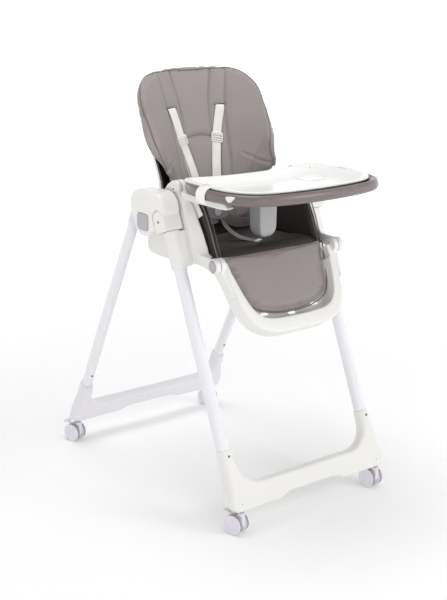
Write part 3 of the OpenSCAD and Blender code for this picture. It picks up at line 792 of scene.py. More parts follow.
MID = np.array([0, -70.0])
ANG = np.linspace(-math.pi, math.pi, 240, endpoint=False) + math.pi / 2
OUT = around(foot_out(), MID, ANG)
half = [(-158.8, 8), (-158.5, 0), (-157.5, -12), (-154, -34), (-149, -58), (-143, -84), (-136, -106),
    (-126, -126), (-110, -143), (-86, -152.5), (-48, -156.5), (0, -157.5)]
top = [(158.5, 8.5), (60, 8.5), (0, 8.5), (-60, 8.5), (-158.5, 8.5)]
INN = around(np.vstack([spline(both(half), 150), top]), MID, ANG)
DISH_OUT, DISH_IN = Outline(OUT, MID), Outline(INN, MID)
skirt = ((40, 36), (10, 36), (2.4, 35.8), (0.6, 34.6), (0, 32.5), (0, 2), (0.5, -1.2), (2.2, -3.2))
rings = [fplane(DISH_OUT(g), y) for g, y in skirt]
A, B = DISH_OUT(4.6), DISH_IN(0)
for t in (0, 0.25, 0.5, 0.75, 1.0):
    rings.append(fplane(A * (1 - t) + B * t, -4 - 0.35 * math.sin(math.pi * t)))
for g, y in ((1.6, -3.0), (2.8, -0.6), (4.2, 4), (6.5, 12), (9, 20), (12, 25.5), (17, 28.8), (24, 29.8),
        (40, 30)):
    rings.append(fplane(DISH_IN(g), y))
v, f = loft(rings)
dish = add("footrest_dish", v, f, WHITE, sharp=50)
carve(dish, box_of((-200, -40, 1.5), (200, 60, 60), FOOTREST))
carve(dish, box_of((-155.5, -40, -30), (155.5, 29.6, 60), FOOTREST))
carve(dish, box_of((-190, 29.2, -24), (190, 60, 30), FOOTREST))
for x, z in ((-75, -131), (6, -142), (84, -131)):
    carve(dish, cutter(rounded(27, 8.5, 3.8) + np.array([x, z]), 8, 60, FOOTREST, "xz"))
edge_round(shade(dish, 50), 0.8, 2, 50)
parts = []
for s in (-1, 1):
    parts.append(cylinder((s * 171, 0, 0), (s * 184.2, 0, 0), 18.5, 56, FOOTREST))
    wedge = np.array([(184.5, 6), (184.5, -16), (181.5, -34), (171.4, -84), (166, -84), (166, 1),
        (171, 6)]) * [s, 1]
    parts.append(cutter(wedge, -3.8, 24, FOOTREST, "xz"))
ears = fuse("footrest_hinge_ears", parts, 1.6, 4, WHITE)
for s in (-1, 1):
    carve(ears, cylinder((s * 176, *HINGE), (s * 190, *HINGE), 8.2))
settle(dish, "footrest", "white_shell", "footrest_shell")
settle(shade(ears, 45), "footrest", "white_shell")


# ---------------------------------------------------------------- tray
def closed_outline(right_half, n):
    """A smooth outline from its right half, rear middle to front middle."""
    P = np.array(right_half, float)
    Q = np.vstack([P, (P * [-1, 1])[::-1][1:-1]])
    return spline(Q, n, closed=True)


RIM_OUT = [(0, -136), (60, -134), (120, -127), (165, -121), (184, -116), (195, -118), (203, -126),
    (211, -142), (221, -165), (229, -200), (233, -240), (232, -275), (226, -312), (214, -345), (196, -370),
    (168, -390), (130, -402), (70, -412), (0, -416)]
INS_OUT = [(0, -146), (50, -144), (105, -137), (150, -124), (176, -115), (190, -113), (198, -118),
    (203, -130), (208, -155), (213, -190), (215, -230), (213, -270), (206, -307), (192, -337), (170, -359),
    (142, -373), (100, -381), (50, -386), (0, -388)]
RIM_LINE = Outline(closed_outline(RIM_OUT, 260), (0, -262))
INSERT_LINE = Outline(closed_outline(INS_OUT, 260), (0, -262))


def flat(P, z):
    """Outline points (x, y) set at one height."""
    return np.stack([P[:, 0], P[:, 1], np.full(len(P), float(z))], -1)


prof = [(60, 796), (29, 796.2), (26.6, 797.5), (25.6, 801), (24, 806), (21, 810.4), (17, 813.6),
    (12.5, 815.4), (9.5, 815.8), (6.4, 815.0), (3.6, 812.6), (1.4, 808.6), (0.3, 804), (0, 800.5),
    (0.8, 796), (2.8, 792.6), (6, 790.8), (10, 790.2), (18, 790.1), (60, 790)]
rings = [flat(RIM_LINE(100), 796)] + [flat(RIM_LINE(g), z) for g, z in prof] + [flat(RIM_LINE(100), 790)]
v, f = loft(rings)
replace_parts(add("tray_rim_base", v, f, RIM, "tray", sharp=60), "tray_base")
for side, flip in SIDES:
    rail = rounded(130, 16.5, 5) + np.array([-225, 782.4])
    prism("tray_rail_0_" + side, rail, -180, -175, WORLD, RIM, "tray", flip, 0.8, 2, "tray_rim")
    # small wedge lug that catches the clip
    lug = [(-316.5, 809.5), (-325, 799.5), (-330, 799.0), (-338, 809.5), (-334, 811.5), (-320, 811.5)]
    prism("tray_latch_lug_" + side, lug, -228.5, -214, WORLD, WHITE, "tray", flip, 1.4, 3, "white_shell")

    # strap-like clip over the rim, its centre line in (x, z)
    line = [(-204, 822.0), (-212, 821.4), (-220, 820.0), (-227, 817.0), (-232, 811.5), (-235, 804),
        (-235.6, 797), (-234.6, 790), (-231.5, 784.5), (-227, 781.8)]
    mid = spline(line, 40)
    t = tangents(mid)
    sec = rounded(34, 3.0, 1.3, 4)
    rings = []
    for (x, z), (nx, nz) in zip(mid, np.stack([t[:, 1], -t[:, 0]], -1)):
        rings.append(np.stack([x + nx * sec[:, 1], -232 + sec[:, 0], z + nz * sec[:, 1]], -1))
    v, f = loft(rings)
    o = add("tray_clip_band_" + side, v, f, INSERT, "clip_" + side, flip, sharp=60)
    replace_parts(o, "tray_clip_" + side)

# centre post below the tray, with a rounded foot
sections = []
for z in list(np.linspace(789.8, 690, 12)) + [686, 682, 678, 674, 671, 668.5, 666.6, 665.3, 664.5, 664.1,
        664.0]:
    low = np.clip((690 - z) / 26, 0, 1)
    k = math.sqrt(max(0, 1 - low**2))
    w, d = 51 + 4 * (z - 664) / 126, 44 + 3 * (z - 664) / 126
    sec = rounded(w * (0.16 + 0.84 * k), d * (0.5 + 0.5 * k), 4.5 * (0.3 + 0.7 * k), 5)
    sections.append(np.stack([sec[:, 0], -171.5 + sec[:, 1], np.full(len(sec), z)], -1))
v, f = loft(sections)
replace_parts(add("tray_tongue", v, f, POST, "tray", sharp=50), "tray_post")

prof = [(0, 815.6), (-0.6, 817.2), (-0.3, 819.4), (1.2, 820.8), (3.4, 821.3), (7, 821), (12, 819.6),
    (17, 816.4), (22, 812), (27, 807.8), (33, 804.6), (41, 802.8), (52, 802.1)]
rings = [flat(INSERT_LINE(g), z) for g, z in prof]
under = [(0.8, 815.0), (4, 815.3), (16, 814.2), (22, 808.6), (28, 802), (36, 798.2), (52, 797.4)]
rings = [flat(INSERT_LINE(g), 802) for g in (110, 75)] + rings[::-1]
rings += [flat(INSERT_LINE(g), z) for g, z in under + [(75, 797.4), (110, 797.4)]]
v, f = loft(rings)
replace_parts(add("tray_insert_top", v, f, INSERT, "tray_top", sharp=70), "tray_insert")
# shallow ring pressed into the insert's floor
prof = [(0, 40), (1.1, 39.2), (1.6, 37.8), (1.1, 36.4), (0.0, 35.6), (-0.2, 20), (-0.2, 0)]
turned("tray_cup_ring", prof, (118, -212, 802.2), (0, 0, 1), 64, INSERT, "tray_top",
    sharp=70)


# ---------------------------------------------------------------- casters
# half a wheel's face and its tread, as (along the axle, radius)
WHEEL_FACE = [(7.0, 3.2), (7.0, 23.2), (7.5, 24.4), (8.6, 24.95), (17.2, 24.95), (18.4, 24.2), (19, 22.8),
    (18.9, 21.4), (18.1, 20.2), (17.5, 17), (17.4, 12), (17.7, 8.2), (18.6, 7.0), (18.9, 5.6), (18.9, 2.0),
    (18.6, 0)]
WHEEL_BAND = [(8.7, 24.9), (9.2, 25.0), (16.4, 25.0), (16.9, 24.9), (16.4, 24.2), (9.2, 24.2)]
AXLE = (0, 15, 25)  # wheel centre, from the swivel axis at the floor
CASTERS = (("front_left", -220, -371, 16), ("front_right", 220, -371, 4), ("rear_left", -235, 364, 20),
    ("rear_right", 235, 364, 16))
for name, cx, cy, yaw in CASTERS:
    c, s = math.cos(rad(yaw)), math.sin(rad(yaw))

    def at(p, c=c, s=s, cx=cx, cy=cy):
        p = np.asarray(p, float)
        x, y, z = p[..., 0], p[..., 1], p[..., 2]
        return np.stack([cx + x * c - y * s, cy + x * s + y * c, z], -1)

    def wheel(profile, n=64, end=1, closed=False):
        return loft([at(r) for r in lathe(profile, AXLE, (end, 0, 0), n)], closed)

    # wheels: rounded tread, dished face with a hub boss, on one axle
    v, f = merge([wheel(WHEEL_FACE, end=-1), wheel(WHEEL_FACE), wheel([(-8, 2.9), (8, 2.9)], 24)])
    o = add("caster_wheel_pair_" + name, v, f, WHEEL, "wheels_" + name, sharp=45)
    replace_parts(o, "caster_wheels_" + name)
    v, f = merge([wheel(WHEEL_BAND, end=-1, closed=True), wheel(WHEEL_BAND, closed=True)])
    add("caster_tread_" + name, v, f, TREAD, "wheels_" + name, sharp=50)
    # fork: a slim body between the wheels with a hood and a swivel stem
    parts = [
        cylinder((-5.6, 15, 25), (5.6, 15, 25), 18.6, 48, at),
        box_of((-5.6, -7.6, 22), (5.6, 15, 47), at),
        turned("tool", [(46, 6.2), (50, 9), (56, 9)], (0, 0, 0), (0, 0, 1), 40, BLACK, sharp=None, to=at),
    ]
    fork = fuse("caster_fork_" + name, parts, 1.0, 3, WHEEL)
    carve(fork, cylinder((-7, 15, 25), (7, 15, 25), 3.4, 24, at))
    carve(fork, box_of((-3.6, 15, 38.5), (3.6, 48, 60), at))
    settle(shade(fork, 45), "caster_" + name, "wheel_plastic", "caster_housing_" + name)
    prof = [(52, 4.4), (79, 4.4), (80, 3.6)]
    turned("caster_stem_" + name, prof, (0, 0, 0), (0, 0, 1), 24, STEEL, "caster_" + name,
        to=at)
    # brake pedal
    parts = [
        box_of((-2.9, 17.2, 45.2), (2.9, 36.8, 49.8), at),
        box_of((-10.6, 35.2, 50.6), (10.6, 48.8, 54.2), at),
        box_of((-2.9, 33.2, 45.2), (2.9, 37, 53), at),
    ]
    pedal = fuse("caster_pedal_" + name, parts, 0.8, 3, WHEEL)
    settle(pedal, "brake_lever_" + name, "wheel_plastic", "caster_brake_" + name)

# fold pins, rear knuckles and small CAD hardware
for side, flip in SIDES:
    eye = fuse("rear_leg_eye_" + side, [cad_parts["rear_knuckle_" + side]], 1.3, 4, COOL)
    settle(eye, "rear_frame", "white_shell", "rear_knuckle_" + side)
    prof = [(0, 3.95), (44, 3.95), (44.4, 3.4)]
    o = turned("fold_pin_" + side, prof, (-208.4, 12, 742), (-1, 0, 0), 32, STEEL, "frame", flip)
    if not flip:
        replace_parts(o, "fold_pins", "front_screws")
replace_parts(bpy.data.objects["foot_screw_rear_left"], "rear_screws")


# ---------------------------------------------------------------- upholstery
def read(o, what="co"):
    """The mesh's points, or its normals, as an array."""
    a = np.empty(len(o.data.vertices) * 3)
    o.data.vertices.foreach_get(what, a)
    return a.reshape(-1, 3)


def fill_out(o, voxel, cap, pressure=4.0, frames=20):
    """Swells a closed pad by cloth pressure, by cap mm at most."""
    r = o.modifiers.new("remesh", "REMESH")
    r.mode, r.voxel_size = "VOXEL", voxel * 0.001
    bake(o)
    rest = read(o)
    m = o.modifiers.new("cloth", "CLOTH")
    st = m.settings
    st.quality, st.mass = 5, 0.3
    st.tension_stiffness = st.compression_stiffness = 25
    st.bending_stiffness = 3
    st.use_pressure, st.uniform_pressure_force = True, pressure
    st.effector_weights.gravity = 0
    m.collision_settings.use_collision = False
    m.point_cache.frame_start, m.point_cache.frame_end = 1, frames
    for number in range(1, frames + 1):
        bpy.context.scene.frame_set(number)
    bake(o)
    bpy.context.scene.frame_set(1)
    moved = read(o) - rest
    far = np.maximum(np.linalg.norm(moved, axis=1, keepdims=True), 1e-9)
    o.data.vertices.foreach_set("co", (rest + moved * np.minimum(1, cap * 0.001 / far)).ravel())
    s = o.modifiers.new("soft", "SMOOTH")
    s.factor, s.iterations = 0.5, 3
    sub = o.modifiers.new("sub", "SUBSURF")
    sub.levels = sub.render_levels = 1
    return shade(bake(o))


def points_of(o):
    return read(o) * 1000, read(o, "normal")


def set_points(o, P):
    o.data.vertices.foreach_set("co", (np.asarray(P) * 0.001).ravel())
    o.data.update()


def drape(o, P, axis, lift):
    """Points P carried along axis onto the surface of o and lifted off it, with the normals there."""
    tree = BVHTree.FromPolygons([v.co[:] for v in o.data.vertices],
        [p.vertices[:] for p in o.data.polygons])
    out, nrm = [], []
    a = Vector(axis).normalized()
    for p in np.asarray(P, float):
        h = tree.ray_cast(Vector(p * 0.001) - a * 0.25, a, 0.6)
        if h[0] is None:
            h = tree.find_nearest(Vector(p * 0.001))
        out.append(np.array(h[0]) * 1000)
        n = np.array(h[1])
        nrm.append(n if n @ np.array(a) < 0 else -n)
    out, nrm = np.array(out), np.array(nrm)
    for _ in range(3):
        nrm[1:-1] = (nrm[:-2] + nrm[1:-1] + nrm[2:]) / 3
        nrm = unit(nrm)
    return out + nrm * lift, nrm


def bead(name, P, r, mat, body, n=10, flip=False):
    """A round cord along a path."""
    v, f = loft(tube(P, r, n))
    return add(name, v, f, mat, body, flip)


def stitches(name, P, N, body, step, length, r, mat=THREAD):
    """A run of short threads lying on a surface."""
    L = lengths(P)
    parts = []
    s = step / 2
    while s + length < L[-1]:
        q = np.linspace(s, s + length, 4)
        pts, up = (np.stack([np.interp(q, L, A[:, i]) for i in range(3)], -1) for A in (P, N))
        parts.append(loft(tube(pts + up * np.array([-0.35, 0.15, 0.15, -0.35])[:, None], r, 6)))
        s += step
    v, f = merge(parts)
    return add(name, v, f, mat, body)


def fabric(name, rows, thick):
    """A thin dark fabric through rows of points, on the backrest. Its dark colour is painted shade."""
    n = len(rows[0])
    v, f = np.vstack(rows), []
    for i in range(len(rows) - 1):
        f += [(i * n + k, i * n + k + 1, (i + 1) * n + k + 1, (i + 1) * n + k) for k in range(n - 1)]
    o = add(name, v, f, LINER, "backrest")
    m = o.modifiers.new("thick", "SOLIDIFY")
    m.thickness = thick * 0.001
    bake(o)


def groove(r, deep, width, power=2):
    """Depth of a sewn line at distance r from it."""
    return deep * np.exp(-((r / width) ** power))


# --- backrest, drawn in its own frame: x across, w up, and y away from the child
BEND = 356  # radius of the back's curve across the seat
SHEET_Y = -12  # the flat sheet that the back's layers are set out from


def face_half(w):
    """Half width of the front panel at height w."""
    return table(w, [(8, 128), (40, 134), (90, 137), (118, 143), (145, 156), (175, 167), (205, 176),
        (240, 184), (283, 189), (320, 192), (345, 190), (365, 184), (384, 172), (400, 153), (411, 128),
        (419, 95), (423, 50), (424.5, 0)])


def rear_half(w):
    """Half width of the pad's rear face at height w."""
    return table(w, [(8, 128), (90, 137), (118, 142), (145, 157), (175, 172), (195, 186), (215, 197),
        (235, 202.5), (257, 204.5), (320, 203), (345, 200), (365, 193.5), (384, 181), (400, 162),
        (411, 138), (419, 106), (423, 60), (425, 0)])


def flare(w, side):
    """Change of the wing's half width low down, where the cover is pulled towards the tray."""
    wide = table(w, [(0, 0), (95, 0), (105, 3), (118, 12), (130, 20), (140, 23), (150, 19), (165, 11),
        (180, 5), (205, 1), (240, 0), (430, 0)])
    slim = table(w, [(0, 0), (95, 0), (118, 4), (130, 10), (145, 14), (160, 12), (180, 8), (205, 0),
        (430, 0)])
    return wide if side > 0 else -slim


def curl(x, w):
    """How far forward of the flat sheet the padded surface stands at (x, w)."""
    base = BEND - np.sqrt(np.maximum(BEND**2 - np.minimum(np.abs(x), 330) ** 2, 1))
    more = table(w, [(0, 20), (105, 28), (120, 36), (145, 58), (162, 61), (180, 59), (205, 47), (242, 28),
        (283, 14), (325, 0), (430, -6)])
    return base + more * np.clip((np.abs(x) / 188), 0, 1.1) ** 3


def arch(w):
    """How far the cover's top edge stands above its drawn height w."""
    return float(sstep(370, 424, w))


def fanned(n, power):
    """n places from -1 to 1, closer together near the ends."""
    us = np.linspace(-1, 1, n)
    return np.sign(us) * np.abs(us) ** power


def back_pad():
    """A closed pad: the front panel, a gusset and the rear face."""
    us = fanned(61, 0.92)
    rings = []
    for w in np.concatenate([np.linspace(10, 400, 66), [405, 410, 414.5, 418, 421, 423.5]]):
        front, rear = face_half(w) + 1.0, rear_half(w) + 0.5
        top = w + 7 * arch(w)
        row = []
        for u in us:
            x = u * (front + flare(w, u))
            row.append((x, SHEET_Y + 3.4 - curl(x, w), top))
        thick = 17.0 * float(np.interp(w, [10, 60, 404, 422], [0.6, 1, 1, 0.45]))
        taper = float(np.interp(w, [140, 200, 235], [0.85, 0.9, 1]))
        for u in us[::-1]:
            x = u * (rear + flare(w, u))
            th = thick * (1 - np.abs(u) ** 6 * (1 - 0.62 * taper))
            row.append((x, SHEET_Y - curl(x * front / rear if abs(u) > 0.9 else x, w) + th, top))
        rings.append(BACK(np.array(row)))
    v, f = loft(rings)
    return add("back_pad", v, f, LEATHER)


SEAM_IN = spline([(-66, 430), (-63, 412), (-56.5, 385), (-49, 350), (-44, 305), (-43.5, 262), (-43, 246)],
    60)
SEAM_OUT = spline([(110, 422), (104, 395), (95.5, 350), (88, 300), (84, 240), (81, 180), (78, 120),
    (76, 60), (75, 14)], 90)
LUMBAR = spline([(-46, 237), (-38, 242), (-26, 245.5), (-13, 247.5), (0, 248), (13, 247.5), (26, 245.5),
    (38, 242), (46, 237)], 40)
CHANNEL = spline([(-76, 316), (-70, 296), (-63, 270), (-55, 238), (-47, 200), (-39, 155), (-33, 110),
    (-30, 60), (-30, 12)], 80)


def mirror2(P):
    return P * [-1, 1]


def back_relief(o):
    """Sewn lines, the deep strap channels and the raised lumbar panel."""
    P, N = points_of(o)
    front = sstep(0.15, 0.6, -BACK.back(N + BACK.origin)[:, 1])
    xz = BACK.back(P)[:, [0, 2]]
    x, w = xz[:, 0], xz[:, 1]
    d = np.zeros(len(P))
    for line, deep in ((SEAM_IN, 1), (mirror2(SEAM_IN), 1), (SEAM_OUT, 1), (mirror2(SEAM_OUT), 0.6)):
        r = line_dist(xz, line)
        d += deep * (groove(r, 2.6, 3.0) + groove(r, 1.8, 11.0))
    r = line_dist(xz, LUMBAR)
    d += groove(r, 3.2, 3.2) + groove(r, 2.0, 10.0)
    for line in (CHANNEL, mirror2(CHANNEL)):
        r = line_dist(xz, line)
        depth = np.interp(w, [10, 60, 150, 240, 290, 318], [7, 11, 13, 12, 7, 1.5])
        d += groove(r, depth, 11.5, 4) + groove(r, 2.5, 22.0)
    # lumbar panel swells
    panel = table(w, [(12, 30), (60, 30), (110, 33), (155, 39), (200, 47), (238, 55), (300, 70)])
    d -= 4.0 * sstep(6, 22, panel - np.abs(x)) * sstep(0, 26, 244 - w)
    # soft folds where the wings turn towards the seat
    for s in (1, -1):
        r = line_dist(xz, spline([(s * 112, 186), (s * 132, 172), (s * 152, 160), (s * 174, 148)], 30))
        d += groove(r, 1.5, 2.8) - groove(r - 9, 0.6, 5.0)
        r = line_dist(xz, spline([(s * 118, 112), (s * 132, 120), (s * 146, 124)], 30))
        d += groove(r, 1.2, 4.0)
    # slow unevenness of the stuffing
    ph = np.random.default_rng(11).uniform(0, 6.28, 8)
    d += 0.7 * sum(np.sin(x * 0.021 * (i + 1) * 0.7 + w * 0.017 * (i + 1.5) * 0.8 + ph[i])
        for i in range(5)) / 5
    room = face_half(w) + np.where(x > 0, flare(w, 1), flare(w, -1)) - np.abs(x)
    d *= sstep(0, 13, room)
    set_points(o, P - N * (d * front)[:, None])


AXIS_BACK = BACK(np.array([0, 1.0, 0])) - BACK.origin
pad = back_pad()
fill_out(pad, 4.6, 7.0)
back_relief(pad)
pad.name = "back_cushion_pad"
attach(pad, "backrest")
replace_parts(pad, "back_cushion")


def on_back(P2, lift):
    """Points (x, w) laid on the backrest's cushion, with the normals there."""
    return drape(pad, BACK(np.stack([P2[:, 0], np.full(len(P2), -30.0), P2[:, 1]], -1)), AXIS_BACK, lift)


for name, line in (
    ("inner_left", SEAM_IN), ("inner_right", mirror2(SEAM_IN)),
    ("outer_left", mirror2(SEAM_OUT)), ("outer_right", SEAM_OUT), ("lumbar", LUMBAR),
):
    bead("back_seam_" + name, on_back(line[line[:, 1] < 422], -0.5)[0], 0.85, THREAD, "backrest", 8)

# binding round the front panel: up one edge, over the top and down the other
ws = np.concatenate([np.linspace(16, 395, 80), [400, 404.5, 408.5, 412, 415]])
edges = [[(float(s * (face_half(w) - 2.0 + flare(w, s))), w + 6.5 * arch(w)) for w in ws] for s in (-1, 1)]
x0 = -edges[0][-1][0]
over = [(x, 427.3 - 6.2 * (x / x0) ** 2) for x in np.linspace(-x0, x0, 17)[1:-1]]
Q = on_back(spline(np.array((edges[0] + over + edges[1][::-1])[::3]), 260), 0.5)[0]
for _ in range(4):
    Q[1:-1] = (Q[:-2] + 2 * Q[1:-1] + Q[2:]) / 4
bead("back_binding", Q, 1.6, PIPING, "backrest", 10)

# dark fabric strip at the bottom of each strap channel: painted shade in the deep channel
for name, line in (("left", CHANNEL), ("right", mirror2(CHANNEL))):
    line = line[(line[:, 1] < 300) & (line[:, 1] > 14)]
    Q, N = on_back(line, 0.25)
    S = np.cross(tangents(Q), N)
    wide = np.interp(line[:, 1], [14, 60, 250, 300], [17, 19, 18, 6])[:, None]
    rows = [Q + S * u * wide / 2 + N * (0.3 + 2.6 * u * u) for u in (-1, -0.5, 0, 0.5, 1)]
    fabric("channel_painted_shade_" + name, np.stack(rows, 1), 0.6)


# --- back shell, dark liner and the recline handle
def shell_half(w):
    """Half width of the white back shell at height w."""
    return table(w, [(0, 138), (60, 144), (110, 147), (140, 150), (170, 157), (200, 165), (240, 175),
        (300, 184), (335, 184), (362, 177), (384, 164), (400, 146), (411, 123), (419, 92), (423, 50)])


# how far the shell's sides turn forwards at each height
SHELL_CURL = [(0, 4), (120, 14), (145, 26), (180, 34), (205, 32), (242, 22), (283, 11), (325, 0), (430, -5)]


def sheet_layer(name, half, y0, y1, w0, mat, rim=0.0, top=414.0):
    """A curved sheet from depth y0 to y1 and from height w0 to top, its edge turned forwards by rim."""
    us = fanned(53, 0.9)
    rings = []
    for w in [w for w in list(np.linspace(w0, 392, 60)) + [398, 404, 409, 413, 416.5] if w < top] + [top]:
        h = float(half(w))
        dish = 0.6 * float(table(w, SHELL_CURL))

        def y_at(x, off):
            base = BEND - math.sqrt(BEND**2 - min(abs(x), 300) ** 2)
            return SHEET_Y - base - dish * min(abs(x) / 188, 1.1) ** 3 + off

        row = []
        for u in us:
            edge = max(0, (abs(u) - 0.9) / 0.1) if rim else 0
            row.append((u * h, y_at(u * h, y0) - rim * edge**1.5, w))
        for u in us[::-1]:
            x = u * (h - (0.8 if rim else 0))
            row.append((x, y_at(x, y1) - (rim * 0.3 if abs(u) > 0.985 else 0), w))
        rings.append(BACK(np.array(row)))
    v, f = loft(rings)
    return add(name, v, f, mat, sharp=45)


shell = sheet_layer("back_shell_moulding", shell_half, 27.2, 33.0, 0.5, WHITE, 5.0)
edge_round(shell, 1.2, 3, 50)
for w in (250, 272, 294):
    carve(shell, cutter(rounded(150, 7, 3.4) + np.array([0, w]), 16.5, 60, BACK, "xz"))
for s in (-1, 1):
    carve(shell, cutter(rounded(34, 9, 3.4) + np.array([s * 77, 322]), 0, 60, BACK, "xz"))
settle(shade(shell, 40), "backrest", "white_shell", "back_shell")


def liner_half(w):
    return shell_half(w) - table(w, [(0, 15), (200, 15), (240, 9), (430, 9)])


liner = sheet_layer("back_liner_panel", liner_half, 22.6, 26.6, 12, LINER, 0.0, 406)
settle(liner, "backrest", "dark_liner", "back_liner")
for side, flip in SIDES:
    # hinge arm of the backrest and its axle
    arm = [(25, 642), (25, 626), (40, 624), (74, 646), (84, 706), (58, 700), (50, 664)]
    prism("back_hinge_arm_" + side, arm, -144.5, -138.6, WORLD, WHITE, "backrest", flip, 1.6, 3,
        "white_shell")
    prof = [(0, 8), (1.5, 8), (1.5, 6), (51, 6), (52, 5)]
    turned("back_axle_" + side, prof, (-143, 34, 634), (-1, 0, 0), 36, STEEL, "backrest", flip)
    ear = [(14, 352), (39, 354), (40, 362), (37, 370), (14, 374)]
    prism("handle_ear_" + side, ear, -71, -61.5, BACK, WHITE, "backrest", flip, 1.2, 3, "white_shell")
lever = [(-60, 318), (-56, 315.5), (56, 315.5), (60, 318), (60, 360), (57, 365), (-57, 365), (-60, 360)]
grip = prism("recline_handle_grip", lever, 27, 33.5, BACK, GREY, None, False, 0, order="xz")
carve(grip, cutter(rounded(84, 15, 6) + np.array([0, 332]), 20, 50, BACK, "xz"))
settle(edge_round(grip, 1.5, 3, 40), "recline_release", "grey_plastic", "recline_handle")
prof = [(0, 2.9), (136, 2.9)]
turned("recline_pin", prof, (-68, 32, 362), (1, 0, 0), 24, STEEL, "recline_release", to=BACK)

# --- shoulder straps, adjusters and their slots
STRAP_X = [(330, 78), (318, 76.5), (300, 71.5), (270, 63.5), (238, 55.5), (200, 46.5), (155, 37),
    (110, 29.5), (64, 24)]
for side, sx in (("left", -1), ("right", 1)):
    ws = np.linspace(321, 64, 90)
    x = sx * table(ws, STRAP_X)
    # the straps bridge the channel, resting on its shoulders
    lift = np.interp(ws, [64, 110, 160, 240, 300, 316, 321], [9.0, 9.5, 9.0, 5.0, 2.6, 0.5, -3.0])
    shoulders = [BACK.back(on_back(np.stack([x + dx, ws], -1), 0)[0])[:, 1] for dx in (-11, 11)]
    base = np.convolve(np.pad(np.minimum(*shoulders), 4, mode="edge"), np.ones(9) / 9, mode="valid")
    P = BACK(np.stack([x, base - lift * 0.55 - 0.6, ws], -1))
    T = tangents(P)
    # the webbing turns slightly towards the middle
    face = -AXIS_BACK + np.array([sx * -0.16, 0, 0])
    N = unit(face - T * (T @ face)[:, None])
    S = np.cross(T, N)
    o = ribbon("shoulder_strap_" + side, P, S, N, 25, 1.7, WEB, "backrest", 0.7)
    if side == "left":
        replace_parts(o, "shoulder_straps")
    # second, lower layer of the loop, seen past the edge below the adjuster
    low = ws < 246
    under = P[low] - N[low] * np.interp(ws[low], [64, 120, 246], [6.5, 5.0, 2.2])[:,
        None] - np.array([3.0, 0, 0])
    ribbon("shoulder_strap_loop_" + side, under, S[low], N[low], 24.5, 1.6, WEB, "backrest", 0.7)
    for k, e in enumerate((-9.6, 9.6)):
        stitches("strap_stitch_%s_%d" % (side, k), (P + S * e + N * 0.9)[4:], N[4:], "backrest", 4.0, 2.6,
            0.28, WEBSIDE)
    # ladder-lock adjuster
    i = int(np.argmin(np.abs(ws - 237)))

    def place(points, i=i, P=P, S=S, T=T, N=N):
        """Points across, along and above the strap, at the adjuster."""
        return np.array([P[i] + S[i] * a + T[i] * b + N[i] * c for a, b, c in points])

    outer, inner = rounded(33, 27, 4.5, 6), rounded(27, 20, 2.5, 6)
    loops = ((outer, 0.6), (outer, 3.6), (outer * 0.95, 4.4), (inner * 1.04, 4.4), (inner, 3.6),
        (inner, 0.6))
    v, f = loft([place([(a, b, h) for a, b in loop]) for loop, h in loops], closed=True)
    o = add("strap_adjuster_" + side, v, f, WEBSIDE, "backrest", sharp=50)
    if side == "left":
        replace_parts(o, "strap_adjusters")
    for j, b in enumerate((-6.2, 0.4, 6.6)):
        bar = place([(a, b, 3.2 + 0.9 * math.cos(a / 10)) for a in np.linspace(-14.5, 14.5, 9)])
        bead("strap_adjuster_bar_%s_%d" % (side, j), bar, 1.7, WEBSIDE, "backrest", 12)
    # slot in the cover with its bound edge
    slit = np.stack([sx * 77 + np.linspace(-15.5, 15.5, 14),
        321.5 + 0.8 * np.cos(np.linspace(-1.4, 1.4, 14))], -1)
    bead("harness_slot_" + side, on_back(slit, -0.6)[0], 1.5, LINER, "backrest", 10)
    hem = rounded(39, 9.5, 4.6, 5) + np.array([sx * 77, 322])
    bead("harness_slot_seam_" + side, on_back(np.vstack([hem, hem[:1]]), 0.0)[0], 0.6, THREAD, "backrest",
        8)

# --- seat: floor pad, side bolsters
FLOOR_PAD = [(-203, 640), (-199, 643.5), (-190, 645), (-150, 643), (-90, 638), (-30, 637), (4, 640),
    (11, 642), (13, 636), (13, 616), (-184, 612.5), (-197, 615), (-207, 622), (-208, 631)]
# its darkened upholstery colour is painted shade, for the shadow under the tray
pad_floor = prism("seat_floor_pad", spline(FLOOR_PAD, 70, closed=True), -158, 158, WORLD, SEAT_PAINTED_SHADE, None,
    edge=3)
fill_out(pad_floor, 5.0, 5.0)
P, N = points_of(pad_floor)
d = groove(np.abs(np.abs(P[:, 0]) - 148), 2.6, 4.0)
d += groove(line_dist(P[:, :2], spline([(-146, -60), (-60, -74), (0, -78), (60, -74), (146, -60)], 60)),
    2.0, 3.5)
d += 5.0 * np.exp(-((P[:, 0] / 70) ** 2 + ((P[:, 1] + 40) / 60) ** 2))
set_points(pad_floor, P - np.array([0, 0, 1.0]) * (d * sstep(0.4, 0.8, N[:, 2]))[:, None])
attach(pad_floor, "seat")
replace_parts(pad_floor, "seat_cushion")

BOL = spline([(-208, 630), (-202, 645), (-191, 667), (-180, 694), (-168, 718), (-153, 745), (-138, 762),
    (-112, 774), (-76, 777), (-44, 774), (-22, 752), (-4, 716), (8, 682), (12, 650), (6, 634), (-40, 629),
    (-120, 626), (-180, 622), (-200, 620)], 110, closed=True)
for side, flip in SIDES:
    # its darkened upholstery colour is painted shade, for the shadow under the tray
    b = prism("seat_bolster_" + side, BOL, -164.4, -151.4, WORLD, SEAT_PAINTED_SHADE, None, edge=4)
    mirrored(fill_out(b, 4.5, 3.0), flip)
    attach(b, "seat")
    for k, (x, shift, r, mat) in enumerate(((-165.2, 0.4, 1.5, PIPING), (-153.2, 1.6, 0.9, THREAD))):
        edge = yz(x, BOL[:62] + np.array([shift, 0]))
        bead("bolster_binding_%s_%d" % (side, k), edge, r, mat, "seat", flip=flip)

